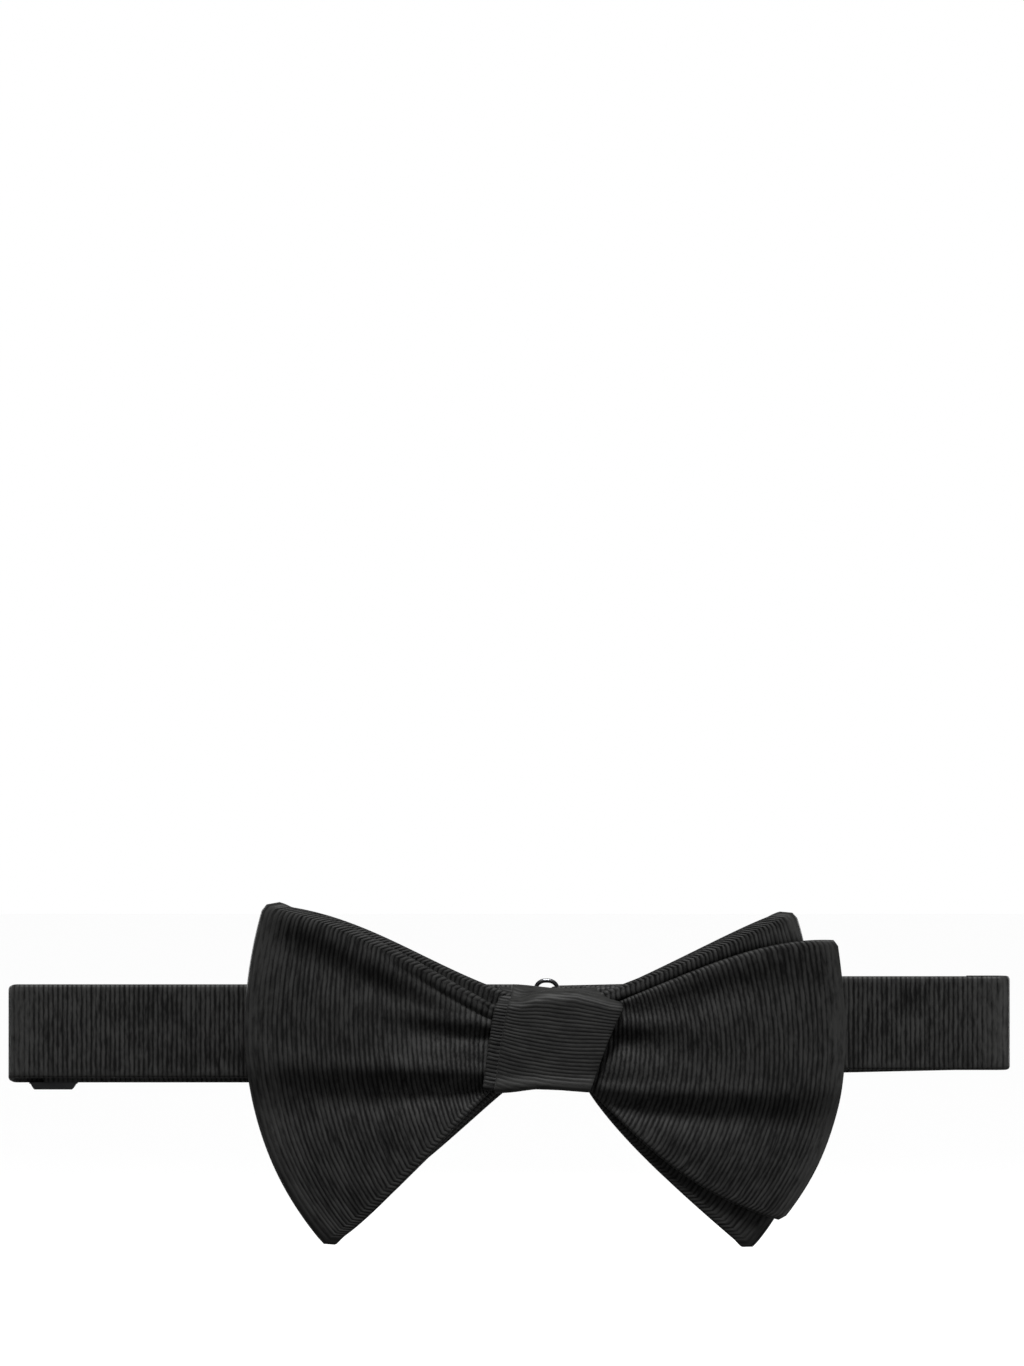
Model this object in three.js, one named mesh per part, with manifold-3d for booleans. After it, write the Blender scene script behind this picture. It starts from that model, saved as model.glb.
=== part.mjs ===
// A grosgrain bow tie, ready tied, with its adjustable neckband folded flat behind it.
// Millimetres. +X is the viewer's right, -Y the front of the bow and +Z up. The origin is
// on the neck side of the band, behind the knot, where the tie bears on the collar.
import * as THREE from 'three';
import { mergeVertices } from 'three/addons/utils/BufferGeometryUtils.js';
import Module from 'manifold-3d';

const wasm = await Module();
wasm.setup();

// ---- driving dimensions ----
const SEAT_GAP = 0.3; // between pieces that bear on each other
const PLY = 0.35; // one layer of silk
const PLY_GAP = 0.2; // between a ply and the interlining
const BOW_INTERLINING = 0.4;
const STRIP_HALF = BOW_INTERLINING / 2 + PLY_GAP + PLY; // half the thickness of a bow strip

const BAND = {
  width: 19.8,
  thick: 1.3,
  wall: 0.3,
  corner: 0.5, // rounding of the rolled long edges
  leftEnd: -114.9, // outside of the left fold
  rightEnd: 95.6, // outside of the right fold
  leftZ: 0.8, // height of the band's middle, left of the knot
  rightZ: 2.5, // the same, right of the knot
  rise: [12, 60], // the stretch behind the right wing where it climbs
  armY: 4.1, // middle of the two rear runs
  leftArmZ: -0.3,
  rightArmEndZ: 0.4,
};
const STRAP = { thick: 0.7, width: 19.4 }; // the turned-back end, without interlining

const SLIDER = {
  x: -105.45, // its middle bar
  length: 10.1,
  rail: 1.8,
  bar: 2.1,
  barThick: 0.8,
  side: 1.15,
  front: 1.5,
  corner: 1.1,
};
const RETURN_Y = 0.9; // middle of the turned-back run
const TAIL_REACH = 2.2; // how far the sewn tail passes the slider's bar
const HOOK = {
  barX: -50,
  bar: 1.2,
  thick: 0.9,
  slot: 3,
  cross: 1.8,
  side: 1.15,
  corner: 0.55,
  tongueWidth: 7,
  tongueReach: 3.4,
  bend: 1.35,
  lip: 4.5,
};
const RING = { pivotX: 0.65, spacing: 4.8, wire: 0.9, room: 0.75, corner: 2.1, tabLength: 12 };
const TAB_LEG_Y = BAND.armY - RING.wire - STRAP.thick - 2 * SEAT_GAP;
const STITCH = { width: 0.8, height: 14, thick: 0.5 };

const KNOT = {
  front: -10.6,
  back: 0.95,
  top: 9.4,
  bottom: -11.5,
  radius: 2.6,
  backRadius: 0.9,
  thick: 0.6,
  padding: 0.6,
  paddingInset: 1,
  leftTop: -9.5,
  leftBottom: -12.6,
  rightTop: 14.6,
  rightBottom: 6.9,
  backLeft: -8.8, // the sides where it passes round the back of the band
  backRightTop: 8.8,
  backRightBottom: 6.6,
  bandRoom: 0.6, // above and below the band, where it goes round it
  tackInset: 3,
};
const THREAD = { thick: 0.5, corner: 0.9 };

// Depths of the layers stacked in the waist, at the middle of each strip
const WAIST_Y = { front: -7.6, middle: -5.45, rear: -3.3 };
const NORMAL_STEP = 0.02; // share of a rim's length that its direction is measured over

// Each wing panel is bounded by a top edge, a bottom edge and a rim, all cubic curves in
// [x, z]. The edges start at the knot, and end where the rim starts and ends.
const LEFT_LOOP_RIM = [[-47.5, -44.3], [-67.5, -22], [-67.5, 6], [-60.6, 28.4]];
const RIGHT_LOOP_RIM = [[40.6, -44.9], [59, -25], [56, 8], [50, 26.4]];
const PANELS = {
  leftLoopFront: {
    rim: LEFT_LOOP_RIM, top: [[-8.5, 3.8], [-24, 11.5], [-40, 23.5]],
    bottom: [[-12.3, -9.9], [-20, -16.4], [-36, -35.5]],
    waistY: WAIST_Y.front, rimY: -9, swell: 1.3,
  },
  leftLoopRear: {
    rim: LEFT_LOOP_RIM, top: [[-5, 7], [-25, 13], [-38, 24]],
    bottom: [[-9.8, -9.7], [-18, -15], [-36, -35.5]],
    waistY: WAIST_Y.middle, rimY: -5.6, swell: 0.4,
  },
  leftEnd: {
    rim: [[-45.5, -37.5], [-61, -19], [-60, 2], [-57, 21.5]], top: [[-9, 7.6], [-24, 12.3], [-40, 20.5]],
    bottom: [[-9, -9.9], [-19, -17.5], [-31, -31]],
    waistY: WAIST_Y.rear, rimY: -3.2, swell: 0,
  },
  rightEnd: {
    rim: [[47.5, -38.4], [63.5, -19], [61.5, 2], [59, 19.8]], top: [[9, 5], [27, 12], [42, 20.5]],
    bottom: [[6.3, -9.9], [18, -21], [27, -32]],
    waistY: WAIST_Y.front, rimY: -8.6, swell: 0.8,
  },
  rightLoopFront: {
    rim: RIGHT_LOOP_RIM, top: [[5, 7], [24, 13.5], [38, 21.5]],
    bottom: [[6.3, -9.9], [14.5, -22], [27, -33]],
    waistY: WAIST_Y.middle, rimY: -6.3, swell: 0.2,
  },
  rightLoopRear: {
    rim: RIGHT_LOOP_RIM, top: [[9, 7.6], [24, 14.3], [38, 22]],
    bottom: [[6.3, -9.9], [14.5, -22.5], [27, -33]],
    waistY: WAIST_Y.rear, rimY: -3.2, swell: 0,
  },
};
const LOOP_REACH = { left: 2.3, right: 2 }; // the rolled rim stands this far past its legs
// One soft pleat runs out from the knot across each wing, with a hollow below it
const PLEATS = {
  left: { crest: [-1.5, -4], spread: [5, 9], height: 1.3, hollow: 0.6, drop: 1.6 },
  right: { crest: [-3.5, -8], spread: [5, 9], height: 1.3, hollow: 0.6, drop: 1.6 },
};
const PLEAT_RUN = [12, 60]; // from the knot's side to the rims
const FINE = { across: 8, leg: 6, fold: 4, waist: 2, arc: 6, corner: 3, plate: 4, wire: 8 };

// ---- materials ----
const material = (color, roughness, metalness = 0) =>
  new THREE.MeshStandardMaterial({ color, roughness, metalness });
const MATERIALS = {
  silk: material(0x252525, 0.8),
  interlining: material(0xcfcabf, 0.95),
  thread: material(0x1c1c1c, 0.7),
  nickel: material(0x4a4d52, 0.3, 1),
  slider: material(0x303236, 0.4),
};

const tie = new THREE.Group();
function add(name, geometry, look) {
  const mesh = new THREE.Mesh(geometry, MATERIALS[look]);
  mesh.name = name;
  tie.add(mesh);
}

// ---- small helpers ----
const mix = (a, b, t) => a + (b - a) * t;
const mix2 = (a, b, t) => [mix(a[0], b[0], t), mix(a[1], b[1], t)];
const clamp01 = (t) => Math.min(1, Math.max(0, t));
const smooth = (t) => clamp01(t) ** 2 * (3 - 2 * clamp01(t));
const steps = (count) => Array.from({ length: count + 1 }, (_, i) => i / count);

function bezier([a, b, c, d], t) {
  const m = 1 - t;
  return [0, 1].map((k) => m ** 3 * a[k] + 3 * m * m * t * b[k] + 3 * m * t * t * c[k] + t ** 3 * d[k]);
}

function outwardNormal(curve, t, side) {
  const [x0, z0] = bezier(curve, Math.max(0, t - NORMAL_STEP));
  const [x1, z1] = bezier(curve, Math.min(1, t + NORMAL_STEP));
  const length = Math.hypot(x1 - x0, z1 - z0);
  return [(side * Math.abs(z1 - z0)) / length, (-side * (x1 - x0) * Math.sign(z1 - z0)) / length];
}

function geometryFrom(points, triangles) {
  const geometry = new THREE.BufferGeometry();
  geometry.setAttribute('position', new THREE.Float32BufferAttribute(points.flat(), 3));
  geometry.setIndex(triangles.flat());
  return geometry;
}

const signedVolume = (points, triangles) =>
  triangles.reduce((sum, [a, b, c]) => {
    const [p, q, r] = [points[a], points[b], points[c]].map((v) => new THREE.Vector3(...v));
    return sum + p.dot(q.cross(r)) / 6;
  }, 0);

function facingOut(points, triangles) {
  const inward = signedVolume(points, triangles) < 0;
  return geometryFrom(points, inward ? triangles.map(([a, b, c]) => [a, c, b]) : triangles);
}

// A closed solid between two grids of points with the same rows and columns.
// With round set, each row closes on itself and the solid is a sleeve with open ends.
function solidBetween(near, far, round = false) {
  const rows = near.length;
  const columns = near[0].length;
  const points = [...near.flat(), ...far.flat()];
  const index = (layer, i, j) => layer * rows * columns + i * columns + (j % columns);
  const triangles = [];
  const quad = (a, b, c, d) => triangles.push([a, b, c], [a, c, d]);
  const lastColumn = round ? columns : columns - 1;
  for (let i = 0; i < rows - 1; i++) {
    for (let j = 0; j < lastColumn; j++) {
      quad(index(0, i, j), index(0, i + 1, j), index(0, i + 1, j + 1), index(0, i, j + 1));
      quad(index(1, i, j), index(1, i, j + 1), index(1, i + 1, j + 1), index(1, i + 1, j));
    }
  }
  const lastRow = rows - 1;
  for (let j = 0; j < lastColumn; j++) {
    quad(index(0, 0, j), index(0, 0, j + 1), index(1, 0, j + 1), index(1, 0, j));
    quad(index(0, lastRow, j + 1), index(0, lastRow, j), index(1, lastRow, j), index(1, lastRow, j + 1));
  }
  for (let i = 0; i < lastRow && !round; i++) {
    quad(index(0, i + 1, 0), index(0, i, 0), index(1, i, 0), index(1, i + 1, 0));
    const [a, b] = [columns - 1 + i * columns, columns - 1 + (i + 1) * columns];
    const far = rows * columns;
    quad(a, b, far + b, far + a);
  }
  return facingOut(points, triangles);
}

// ---- the bow's two strips ----
function pleatHeight(x, z) {
  const pleat = x < 0 ? PLEATS.left : PLEATS.right;
  const run = clamp01((Math.abs(x) - PLEAT_RUN[0]) / (PLEAT_RUN[1] - PLEAT_RUN[0]));
  const across = (z - mix(...pleat.crest, run)) / mix(...pleat.spread, run);
  const shape = Math.exp(-(across ** 2)) - pleat.hollow * Math.exp(-((across + pleat.drop) ** 2));
  return pleat.height * smooth(run * 3) * shape;
}

// The point of a panel at u, from knot to rim, and s, from its bottom edge to its top edge
function panelPoint(panel, u, s, rimInset, side) {
  const rim = (t) => {
    const [x, z] = bezier(panel.rim, t);
    const [nx, nz] = outwardNormal(panel.rim, t, side);
    return [x - nx * rimInset, z - nz * rimInset];
  };
  const low = bezier([...panel.bottom, rim(0)], u);
  const high = bezier([...panel.top, rim(1)], u);
  const chord = mix2(rim(0), rim(1), s);
  const [x, z] = mix2(low, high, s).map((value, k) => value + u * (rim(s)[k] - chord[k]));
  const depth = mix(panel.waistY, panel.rimY, smooth(u));
  return [x, depth - panel.swell * Math.sin(Math.PI * u) - pleatHeight(x, z), z];
}

// A station is one line across a strip: for s it gives a point and the way its face looks
const legStation = (panel, u, faceY, rimInset, side) => (s) => ({
  point: panelPoint(panel, u, s, rimInset, side),
  face: [0, faceY, 0],
});

function foldStation(front, rear, angle, reach, side) {
  return (s) => {
    const a = panelPoint(front, 1, s, reach + STRIP_HALF, side);
    const b = panelPoint(rear, 1, s, reach + STRIP_HALF, side);
    const [nx, nz] = outwardNormal(front.rim, s, side);
    const out = reach * Math.sin(angle);
    const y = (a[1] + b[1]) / 2 + ((a[1] - b[1]) / 2) * Math.cos(angle);
    return {
      point: [a[0] + nx * out, y, a[2] + nz * out],
      face: [nx * Math.sin(angle), -Math.cos(angle), nz * Math.sin(angle)],
    };
  };
}

const betweenStations = (first, last, t) => (s) => ({
  point: first(s).point.map((value, k) => mix(value, last(s).point[k], t)),
  face: first(s).face,
});

// A strip starts at the knot, goes out along one leg, turns back at the rim, crosses the
// waist and ends in the flat end of the other wing.
function stripStations(firstLeg, secondLeg, flatEnd, side, faceY, reach) {
  const inset = reach + STRIP_HALF;
  const out = steps(FINE.leg).map((u) => legStation(firstLeg, u, -faceY, inset, side));
  const [front, rear] = faceY < 0 ? [secondLeg, firstLeg] : [firstLeg, secondLeg];
  const turn = steps(FINE.fold).slice(1, -1).map((t) => {
    const angle = faceY < 0 ? Math.PI * (1 - t) : Math.PI * t;
    return foldStation(front, rear, angle, reach, side);
  });
  const home = steps(FINE.leg).map((u) => legStation(secondLeg, 1 - u, faceY, inset, side));
  const flat = steps(FINE.leg).map((u) => legStation(flatEnd, u, faceY, 0, -side));
  const waist = steps(FINE.waist).slice(1, -1).map((t) => betweenStations(home.at(-1), flat[0], t));
  return [...out, ...turn, ...home, ...waist, ...flat];
}

function sheetOf(stations, nearOffset, farOffset) {
  const grid = (offset) => stations.map((station) => steps(FINE.across).map((s) => {
    const { point, face } = station(s);
    return point.map((value, k) => value + face[k] * offset);
  }));
  return solidBetween(grid(nearOffset), grid(farOffset));
}

function addStrip(name, stations) {
  add(`${name}_face_ply`, sheetOf(stations, STRIP_HALF - PLY, STRIP_HALF), 'silk');
  add(`${name}_interlining`, sheetOf(stations, -BOW_INTERLINING / 2, BOW_INTERLINING / 2), 'interlining');
  add(`${name}_back_ply`, sheetOf(stations, -STRIP_HALF, PLY - STRIP_HALF), 'silk');
}

function makeBow() {
  const { leftLoopFront, leftLoopRear, leftEnd, rightEnd, rightLoopFront, rightLoopRear } = PANELS;
  addStrip('front_bow', stripStations(leftLoopRear, leftLoopFront, rightEnd, -1, -1, LOOP_REACH.left));
  addStrip('rear_bow', stripStations(rightLoopFront, rightLoopRear, leftEnd, 1, 1, LOOP_REACH.right));
}

// ---- the knot ----
// Points of a rounded rectangle in [y, z], going round from the bottom front corner
function roundedLoop(front, back, bottom, top, radius, backRadius = radius) {
  const corners = [
    [front + radius, bottom + radius, radius, Math.PI],
    [back - backRadius, bottom + backRadius, backRadius, 1.5 * Math.PI],
    [back - backRadius, top - backRadius, backRadius, 0],
    [front + radius, top - radius, radius, 0.5 * Math.PI],
  ];
  return corners.flatMap(([y, z, r, start]) => steps(FINE.corner).map((t) => {
    const angle = start + (t * Math.PI) / 2;
    return [y + r * Math.cos(angle), z + r * Math.sin(angle)];
  }));
}

function knotEdges(y, z) {
  const up = clamp01((z - KNOT.bottom) / (KNOT.top - KNOT.bottom));
  const back = smooth((y - KNOT.front) / (KNOT.back - KNOT.front) * 2);
  return [
    mix(mix(KNOT.leftBottom, KNOT.leftTop, up), KNOT.backLeft, back),
    mix(mix(KNOT.rightBottom, KNOT.rightTop, up), mix(KNOT.backRightBottom, KNOT.backRightTop, up), back),
  ];
}

// How far a point of the knot's section moves up or down to clear the band it goes round
function knotRise(y, z) {
  const middle = (KNOT.bottom + KNOT.top) / 2;
  const half = (KNOT.top - KNOT.bottom) / 2;
  const room = BAND.width / 2 + KNOT.bandRoom + KNOT.thick;
  const rise = Math.max(0, BAND.leftZ + room - KNOT.top);
  const drop = Math.max(0, KNOT.bottom - BAND.leftZ + room);
  const behind = smooth((y - KNOT.front) / (WAIST_Y.rear - KNOT.front));
  return (behind * (z > middle ? rise : drop) * (z - middle)) / half;
}

function knotWrap() {
  const loop = (inset) => roundedLoop(
    KNOT.front + inset, KNOT.back - inset, KNOT.bottom + inset, KNOT.top - inset,
    KNOT.radius - inset, KNOT.backRadius - inset);
  const outer = loop(0);
  const row = (points, t) =>
    points.map(([y, z], j) => [mix(...knotEdges(...outer[j]), t), y, z + knotRise(y, z)]);
  const rings = (inset) => steps(3).map((t) => row(loop(inset), t));
  return solidBetween(rings(0), rings(KNOT.thick), true);
}

function knotPadding() {
  const face = KNOT.front + KNOT.thick + SEAT_GAP;
  const low = KNOT.bottom + KNOT.radius;
  const high = KNOT.top - KNOT.radius;
  const sheet = (y) => steps(2).map((t) => steps(2).map((s) => {
    const z = mix(low, high, s);
    const [left, right] = knotEdges(KNOT.front, z);
    return [mix(left + KNOT.paddingInset, right - KNOT.paddingInset, t), y, z];
  }));
  return solidBetween(sheet(face), sheet(face + KNOT.padding));
}

// The gathering thread goes once round the waist, inside the knot
function waistThread() {
  const loop = (inset) => roundedLoop(
    WAIST_Y.front - STRIP_HALF - SEAT_GAP / 2 - THREAD.thick + inset,
    WAIST_Y.rear + STRIP_HALF + SEAT_GAP / 2 + THREAD.thick - inset,
    KNOT.bottom + KNOT.thick + SEAT_GAP / 2 + inset,
    KNOT.top - KNOT.thick - SEAT_GAP / 2 - inset,
    THREAD.corner - inset,
  );
  const half = THREAD.thick / 2;
  const rings = (inset) => [-half, half].map((x) => loop(inset).map(([y, z]) => [x, y, z]));
  return solidBetween(rings(0), rings(THREAD.thick), true);
}

function makeKnot() {
  add('knot_wrap', knotWrap(), 'silk');
  add('knot_padding', knotPadding(), 'interlining');
  add('waist_thread', waistThread(), 'thread');
  const tack = new THREE.BoxGeometry(STITCH.width, STITCH.thick, STITCH.height);
  const tackX = KNOT.backLeft + KNOT.tackInset;
  tack.translate(tackX, KNOT.back + SEAT_GAP + STITCH.thick / 2, (KNOT.top + KNOT.bottom) / 2);
  add('knot_back_tack', tack, 'thread');
}

// ---- the neckband ----
// The band's section at one place: centre [x, y, z], and the way its face looks in X and Y
function bandSection([x, y, z], [faceX, faceY], thick, width, corner) {
  const loop = roundedLoop(-thick / 2, thick / 2, -width / 2, width / 2, corner);
  return loop.map(([across, up]) => [x - faceX * across, y - faceY * across, z + up]);
}

function sleeve(places) {
  const rings = (inset) => places.map(({ centre, face }) =>
    bandSection(centre, face, BAND.thick - 2 * inset, BAND.width - 2 * inset, BAND.corner - inset));
  return solidBetween(rings(0), rings(BAND.wall), true);
}

// A flat strap that follows its places along the band
function flatStrap(places, thick, width) {
  const sheet = (side) => places.map(({ centre: [x, y, z], face }) => {
    const out = (side * thick) / 2;
    return [-width / 2, width / 2].map((up) => [x + face[0] * out, y + face[1] * out, z + up]);
  });
  return solidBetween(sheet(1), sheet(-1));
}

const bandInterlining = (places) =>
  flatStrap(places, BAND.thick - 2 * (BAND.wall + PLY_GAP), BAND.width - 4 * (BAND.wall + PLY_GAP));

const FRONT_RUN_Y = -BAND.thick / 2;
const FOLD_RADIUS = (BAND.armY - FRONT_RUN_Y) / 2;
const FOLD_Y = (BAND.armY + FRONT_RUN_Y) / 2;
const LEFT_FOLD_X = BAND.leftEnd + FOLD_RADIUS + BAND.thick / 2;
const RIGHT_FOLD_X = BAND.rightEnd - FOLD_RADIUS - BAND.thick / 2;

const frontRunZ = (x) =>
  mix(BAND.leftZ, BAND.rightZ, smooth((x - BAND.rise[0]) / (BAND.rise[1] - BAND.rise[0])));
const rightArmZ = (x) =>
  mix(BAND.rightArmEndZ, BAND.rightZ, clamp01((x - RING.pivotX) / (RIGHT_FOLD_X - RING.pivotX)));

function frontRunPlaces(inset) {
  const bend = steps(FINE.arc).map((t) => mix(...BAND.rise, t));
  const along = [LEFT_FOLD_X + inset, ...bend, RIGHT_FOLD_X - inset];
  return along.map((x) => ({ centre: [x, FRONT_RUN_Y, frontRunZ(x)], face: [0, -1] }));
}

function foldPlaces(x, side, frontZ, armZ) {
  return steps(FINE.arc).map((t) => {
    const angle = Math.PI * t;
    const face = [side * Math.sin(angle), -Math.cos(angle)];
    const [outX, outY] = face.map((value) => value * FOLD_RADIUS);
    return { centre: [x + outX, FOLD_Y + outY, mix(frontZ, armZ, t)], face };
  });
}

const armPlaces = (x0, x1, heightAt) =>
  [x0, x1].map((x) => ({ centre: [x, BAND.armY, heightAt(x)], face: [0, 1] }));

// A strap that follows a path of [x, y] points in plan, with the way its face looks at each
const ribbon = (path, thick, width, heightAt) =>
  flatStrap(path.map(({ at: [x, y], face }) => ({ centre: [x, y, heightAt(x)], face })), thick, width);

const arcPath = (x, y, radius, from, to) => steps(FINE.arc).map((t) => {
  const angle = mix(from, to, t);
  const face = [Math.cos(angle), Math.sin(angle)];
  return { at: [x + radius * face[0], y + radius * face[1]], face };
});

// The strap turns round the hook's bar, runs back and turns round the slider's bar
const TAIL_Y = BAND.armY - (BAND.thick + STRAP.thick + SEAT_GAP) / 2;
const HOOK_Y = (RETURN_Y + BAND.armY) / 2;

function strapReturn() {
  const turnX = SLIDER.x - SLIDER.bar / 2 + SEAT_GAP;
  const radius = (TAIL_Y - RETURN_Y) / 2;
  const atSlider = arcPath(turnX, RETURN_Y + radius, radius, Math.PI / 2, 1.5 * Math.PI);
  const atHook = arcPath(HOOK.barX, HOOK_Y, BAND.armY - HOOK_Y, -Math.PI / 2, Math.PI / 2);
  const tailEnd = { at: [SLIDER.x + TAIL_REACH, TAIL_Y], face: [0, 1] };
  return ribbon([tailEnd, ...atSlider, ...atHook], STRAP.thick, STRAP.width, () => BAND.leftArmZ);
}

function ringTab() {
  const radius = (BAND.armY - TAB_LEG_Y) / 2;
  const turn = arcPath(RING.pivotX, BAND.armY - radius, radius, Math.PI / 2, 1.5 * Math.PI);
  const legEnd = { at: [RING.pivotX + RING.tabLength, TAB_LEG_Y], face: [0, -1] };
  return ribbon([...turn, legEnd], STRAP.thick, STRAP.width, rightArmZ);
}

// A line of stitches in the gap between two runs, from y0 to y1
function addStitches(name, x, y0, y1, z) {
  const geometry = new THREE.BoxGeometry(STITCH.width, y1 - y0 - 2 * SEAT_GAP, STITCH.height);
  geometry.translate(x, (y0 + y1) / 2, z);
  add(name, geometry, 'thread');
}

function makeBand() {
  const leftArm = (inset) => armPlaces(LEFT_FOLD_X + inset, HOOK.barX - inset, () => BAND.leftArmZ);
  const rightArm = (inset) => armPlaces(RING.pivotX + inset, RIGHT_FOLD_X - inset, rightArmZ);
  add('band_front_shell', sleeve(frontRunPlaces(SEAT_GAP)), 'silk');
  add('band_front_interlining', bandInterlining(frontRunPlaces(SEAT_GAP)), 'interlining');
  add('band_left_fold', sleeve(foldPlaces(LEFT_FOLD_X, -1, BAND.leftZ, BAND.leftArmZ)), 'silk');
  add('band_right_fold', sleeve(foldPlaces(RIGHT_FOLD_X, 1, BAND.rightZ, BAND.rightZ)), 'silk');
  add('left_strap_shell', sleeve(leftArm(SEAT_GAP)), 'silk');
  add('left_strap_interlining', bandInterlining(leftArm(SEAT_GAP)), 'interlining');
  add('right_strap_shell', sleeve(rightArm(SEAT_GAP)), 'silk');
  add('right_strap_interlining', bandInterlining(rightArm(SEAT_GAP)), 'interlining');
  add('strap_return', strapReturn(), 'silk');
  add('ring_tab', ringTab(), 'silk');
  const half = STRAP.thick / 2;
  const strapTackX = SLIDER.x + TAIL_REACH - STITCH.width / 2;
  addStitches('strap_end_tack', strapTackX, RETURN_Y + half, TAIL_Y - half, BAND.leftArmZ);
  const tabTackX = RING.pivotX + RING.tabLength / 3;
  addStitches('ring_tab_tack', tabTackX, TAB_LEG_Y + half, BAND.armY - BAND.thick / 2, rightArmZ(tabTackX));
}

// ---- the hardware ----
const WELD = 1e-4; // points nearer than this are one
const PAST = 1; // a cut runs this far past what it cuts

function solidOf(geometry) {
  const bare = new THREE.BufferGeometry();
  bare.setAttribute('position', geometry.attributes.position);
  bare.setIndex(geometry.index);
  const merged = mergeVertices(bare, WELD);
  const vertProperties = merged.attributes.position.array;
  const triVerts = new Uint32Array(merged.index.array);
  return new wasm.Manifold(new wasm.Mesh({ numProp: 3, vertProperties, triVerts }));
}

function geometryOf(solid) {
  const mesh = solid.getMesh();
  const geometry = new THREE.BufferGeometry();
  geometry.setAttribute('position', new THREE.BufferAttribute(mesh.vertProperties, 3));
  geometry.setIndex(new THREE.BufferAttribute(mesh.triVerts, 1));
  return geometry;
}

function block(x0, x1, y0, y1, z0, z1) {
  const geometry = new THREE.BoxGeometry(x1 - x0, y1 - y0, z1 - z0);
  geometry.translate((x0 + x1) / 2, (y0 + y1) / 2, (z0 + z1) / 2);
  return solidOf(geometry);
}

// A plate with rounded corners in X and Z, from y0 to y1
function roundedPlate(x0, x1, z0, z1, y0, y1, radius) {
  const shape = new THREE.Shape();
  shape.absarc(x0 + radius, -z1 + radius, radius, Math.PI, 1.5 * Math.PI);
  shape.absarc(x1 - radius, -z1 + radius, radius, 1.5 * Math.PI, 2 * Math.PI);
  shape.absarc(x1 - radius, -z0 - radius, radius, 0, 0.5 * Math.PI);
  shape.absarc(x0 + radius, -z0 - radius, radius, 0.5 * Math.PI, Math.PI);
  const how = { depth: y1 - y0, bevelEnabled: false, curveSegments: FINE.plate };
  const geometry = new THREE.ExtrudeGeometry(shape, how);
  geometry.rotateX(-Math.PI / 2);
  geometry.translate(0, y0, 0);
  return solidOf(geometry);
}

const OPENING_HALF = BAND.width / 2 + SEAT_GAP; // the slots let the strap through

// The two rails pass behind the strap and the middle bar in front of it
function sliderFrame() {
  const [x0, x1] = [SLIDER.x - SLIDER.length / 2, SLIDER.x + SLIDER.length / 2];
  const [low, high] = [BAND.leftArmZ - OPENING_HALF, BAND.leftArmZ + OPENING_HALF];
  const { front, side, corner, rail, bar, barThick } = SLIDER;
  const barBack = front + barThick;
  const railFront = BAND.armY + BAND.thick / 2 + 1.5 * SEAT_GAP;
  const back = railFront + barThick;
  const cut = (fromX, toX, fromY, toY) => block(fromX, toX, fromY, toY, low, high);
  return geometryOf(roundedPlate(x0, x1, low - side, high + side, front, back, corner)
    .subtract(cut(x0 - PAST, x1 + PAST, barBack, railFront))
    .subtract(cut(x0 + rail, x1 - rail, railFront - PAST, back + PAST))
    .subtract(cut(x0 - PAST, SLIDER.x - bar / 2, front - PAST, barBack + PAST))
    .subtract(cut(SLIDER.x + bar / 2, x1 + PAST, front - PAST, barBack + PAST)));
}

function hook() {
  const mid = BAND.leftArmZ;
  const half = OPENING_HALF + HOOK.side;
  const [front, back] = [HOOK_Y - HOOK.thick / 2, HOOK_Y + HOOK.thick / 2];
  const slotStart = HOOK.barX + HOOK.bar / 2;
  const plateEnd = slotStart + HOOK.slot + HOOK.cross;
  const slot = block(slotStart, slotStart + HOOK.slot, front - PAST, back + PAST,
    mid - OPENING_HALF, mid + OPENING_HALF);
  const frame = roundedPlate(HOOK.barX - HOOK.bar / 2, plateEnd, mid - half, mid + half, front, back,
    HOOK.corner).subtract(slot);
  const bendX = plateEnd + HOOK.tongueReach;
  const turn = arcPath(bendX, HOOK_Y + HOOK.bend, HOOK.bend, -Math.PI / 2, Math.PI / 2);
  const root = { at: [plateEnd - HOOK.cross / 2, HOOK_Y], face: [0, -1] };
  const lipEnd = { at: [bendX - HOOK.lip, HOOK_Y + 2 * HOOK.bend], face: [0, 1] };
  const tongue = ribbon([root, ...turn, lipEnd], HOOK.thick, HOOK.tongueWidth, () => mid);
  return geometryOf(frame.add(solidOf(tongue)));
}

// A wire bent into a tall ring with rounded corners; its right side turns in the strap's tab
function eyeRing() {
  const radius = RING.wire / 2;
  const halfHeight = STRAP.width / 2 + RING.room + radius;
  const middleX = RING.pivotX - RING.spacing / 2;
  const pivotY = (BAND.armY + TAB_LEG_Y) / 2;
  const path = roundedLoop(-RING.spacing / 2, RING.spacing / 2, -halfHeight, halfHeight, RING.corner);
  const sides = FINE.wire;
  const rings = path.map(([x, z], i) => {
    const [px, pz] = path.at(i - 1);
    const [qx, qz] = path[(i + 1) % path.length];
    const length = Math.hypot(qx - px, qz - pz);
    const [nx, nz] = [(qz - pz) / length, -(qx - px) / length];
    return Array.from({ length: sides }, (_, k) => {
      const angle = (2 * Math.PI * k) / sides;
      const out = radius * Math.cos(angle);
      return [middleX + x + nx * out, pivotY + radius * Math.sin(angle), BAND.rightArmEndZ + z + nz * out];
    });
  });
  const triangles = rings.flatMap((_, i) => Array.from({ length: sides }, (_, k) => {
    const at = (row, column) => (row % rings.length) * sides + (column % sides);
    return [[at(i, k), at(i + 1, k), at(i + 1, k + 1)], [at(i, k), at(i + 1, k + 1), at(i, k + 1)]];
  }).flat());
  return facingOut(rings.flat(), triangles);
}

function makeHardware() {
  add('slider_frame', sliderFrame(), 'slider');
  add('hook', hook(), 'nickel');
  add('eye_ring', eyeRing(), 'nickel');
}

makeBow();
makeKnot();
makeBand();
makeHardware();

export default tie;
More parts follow.
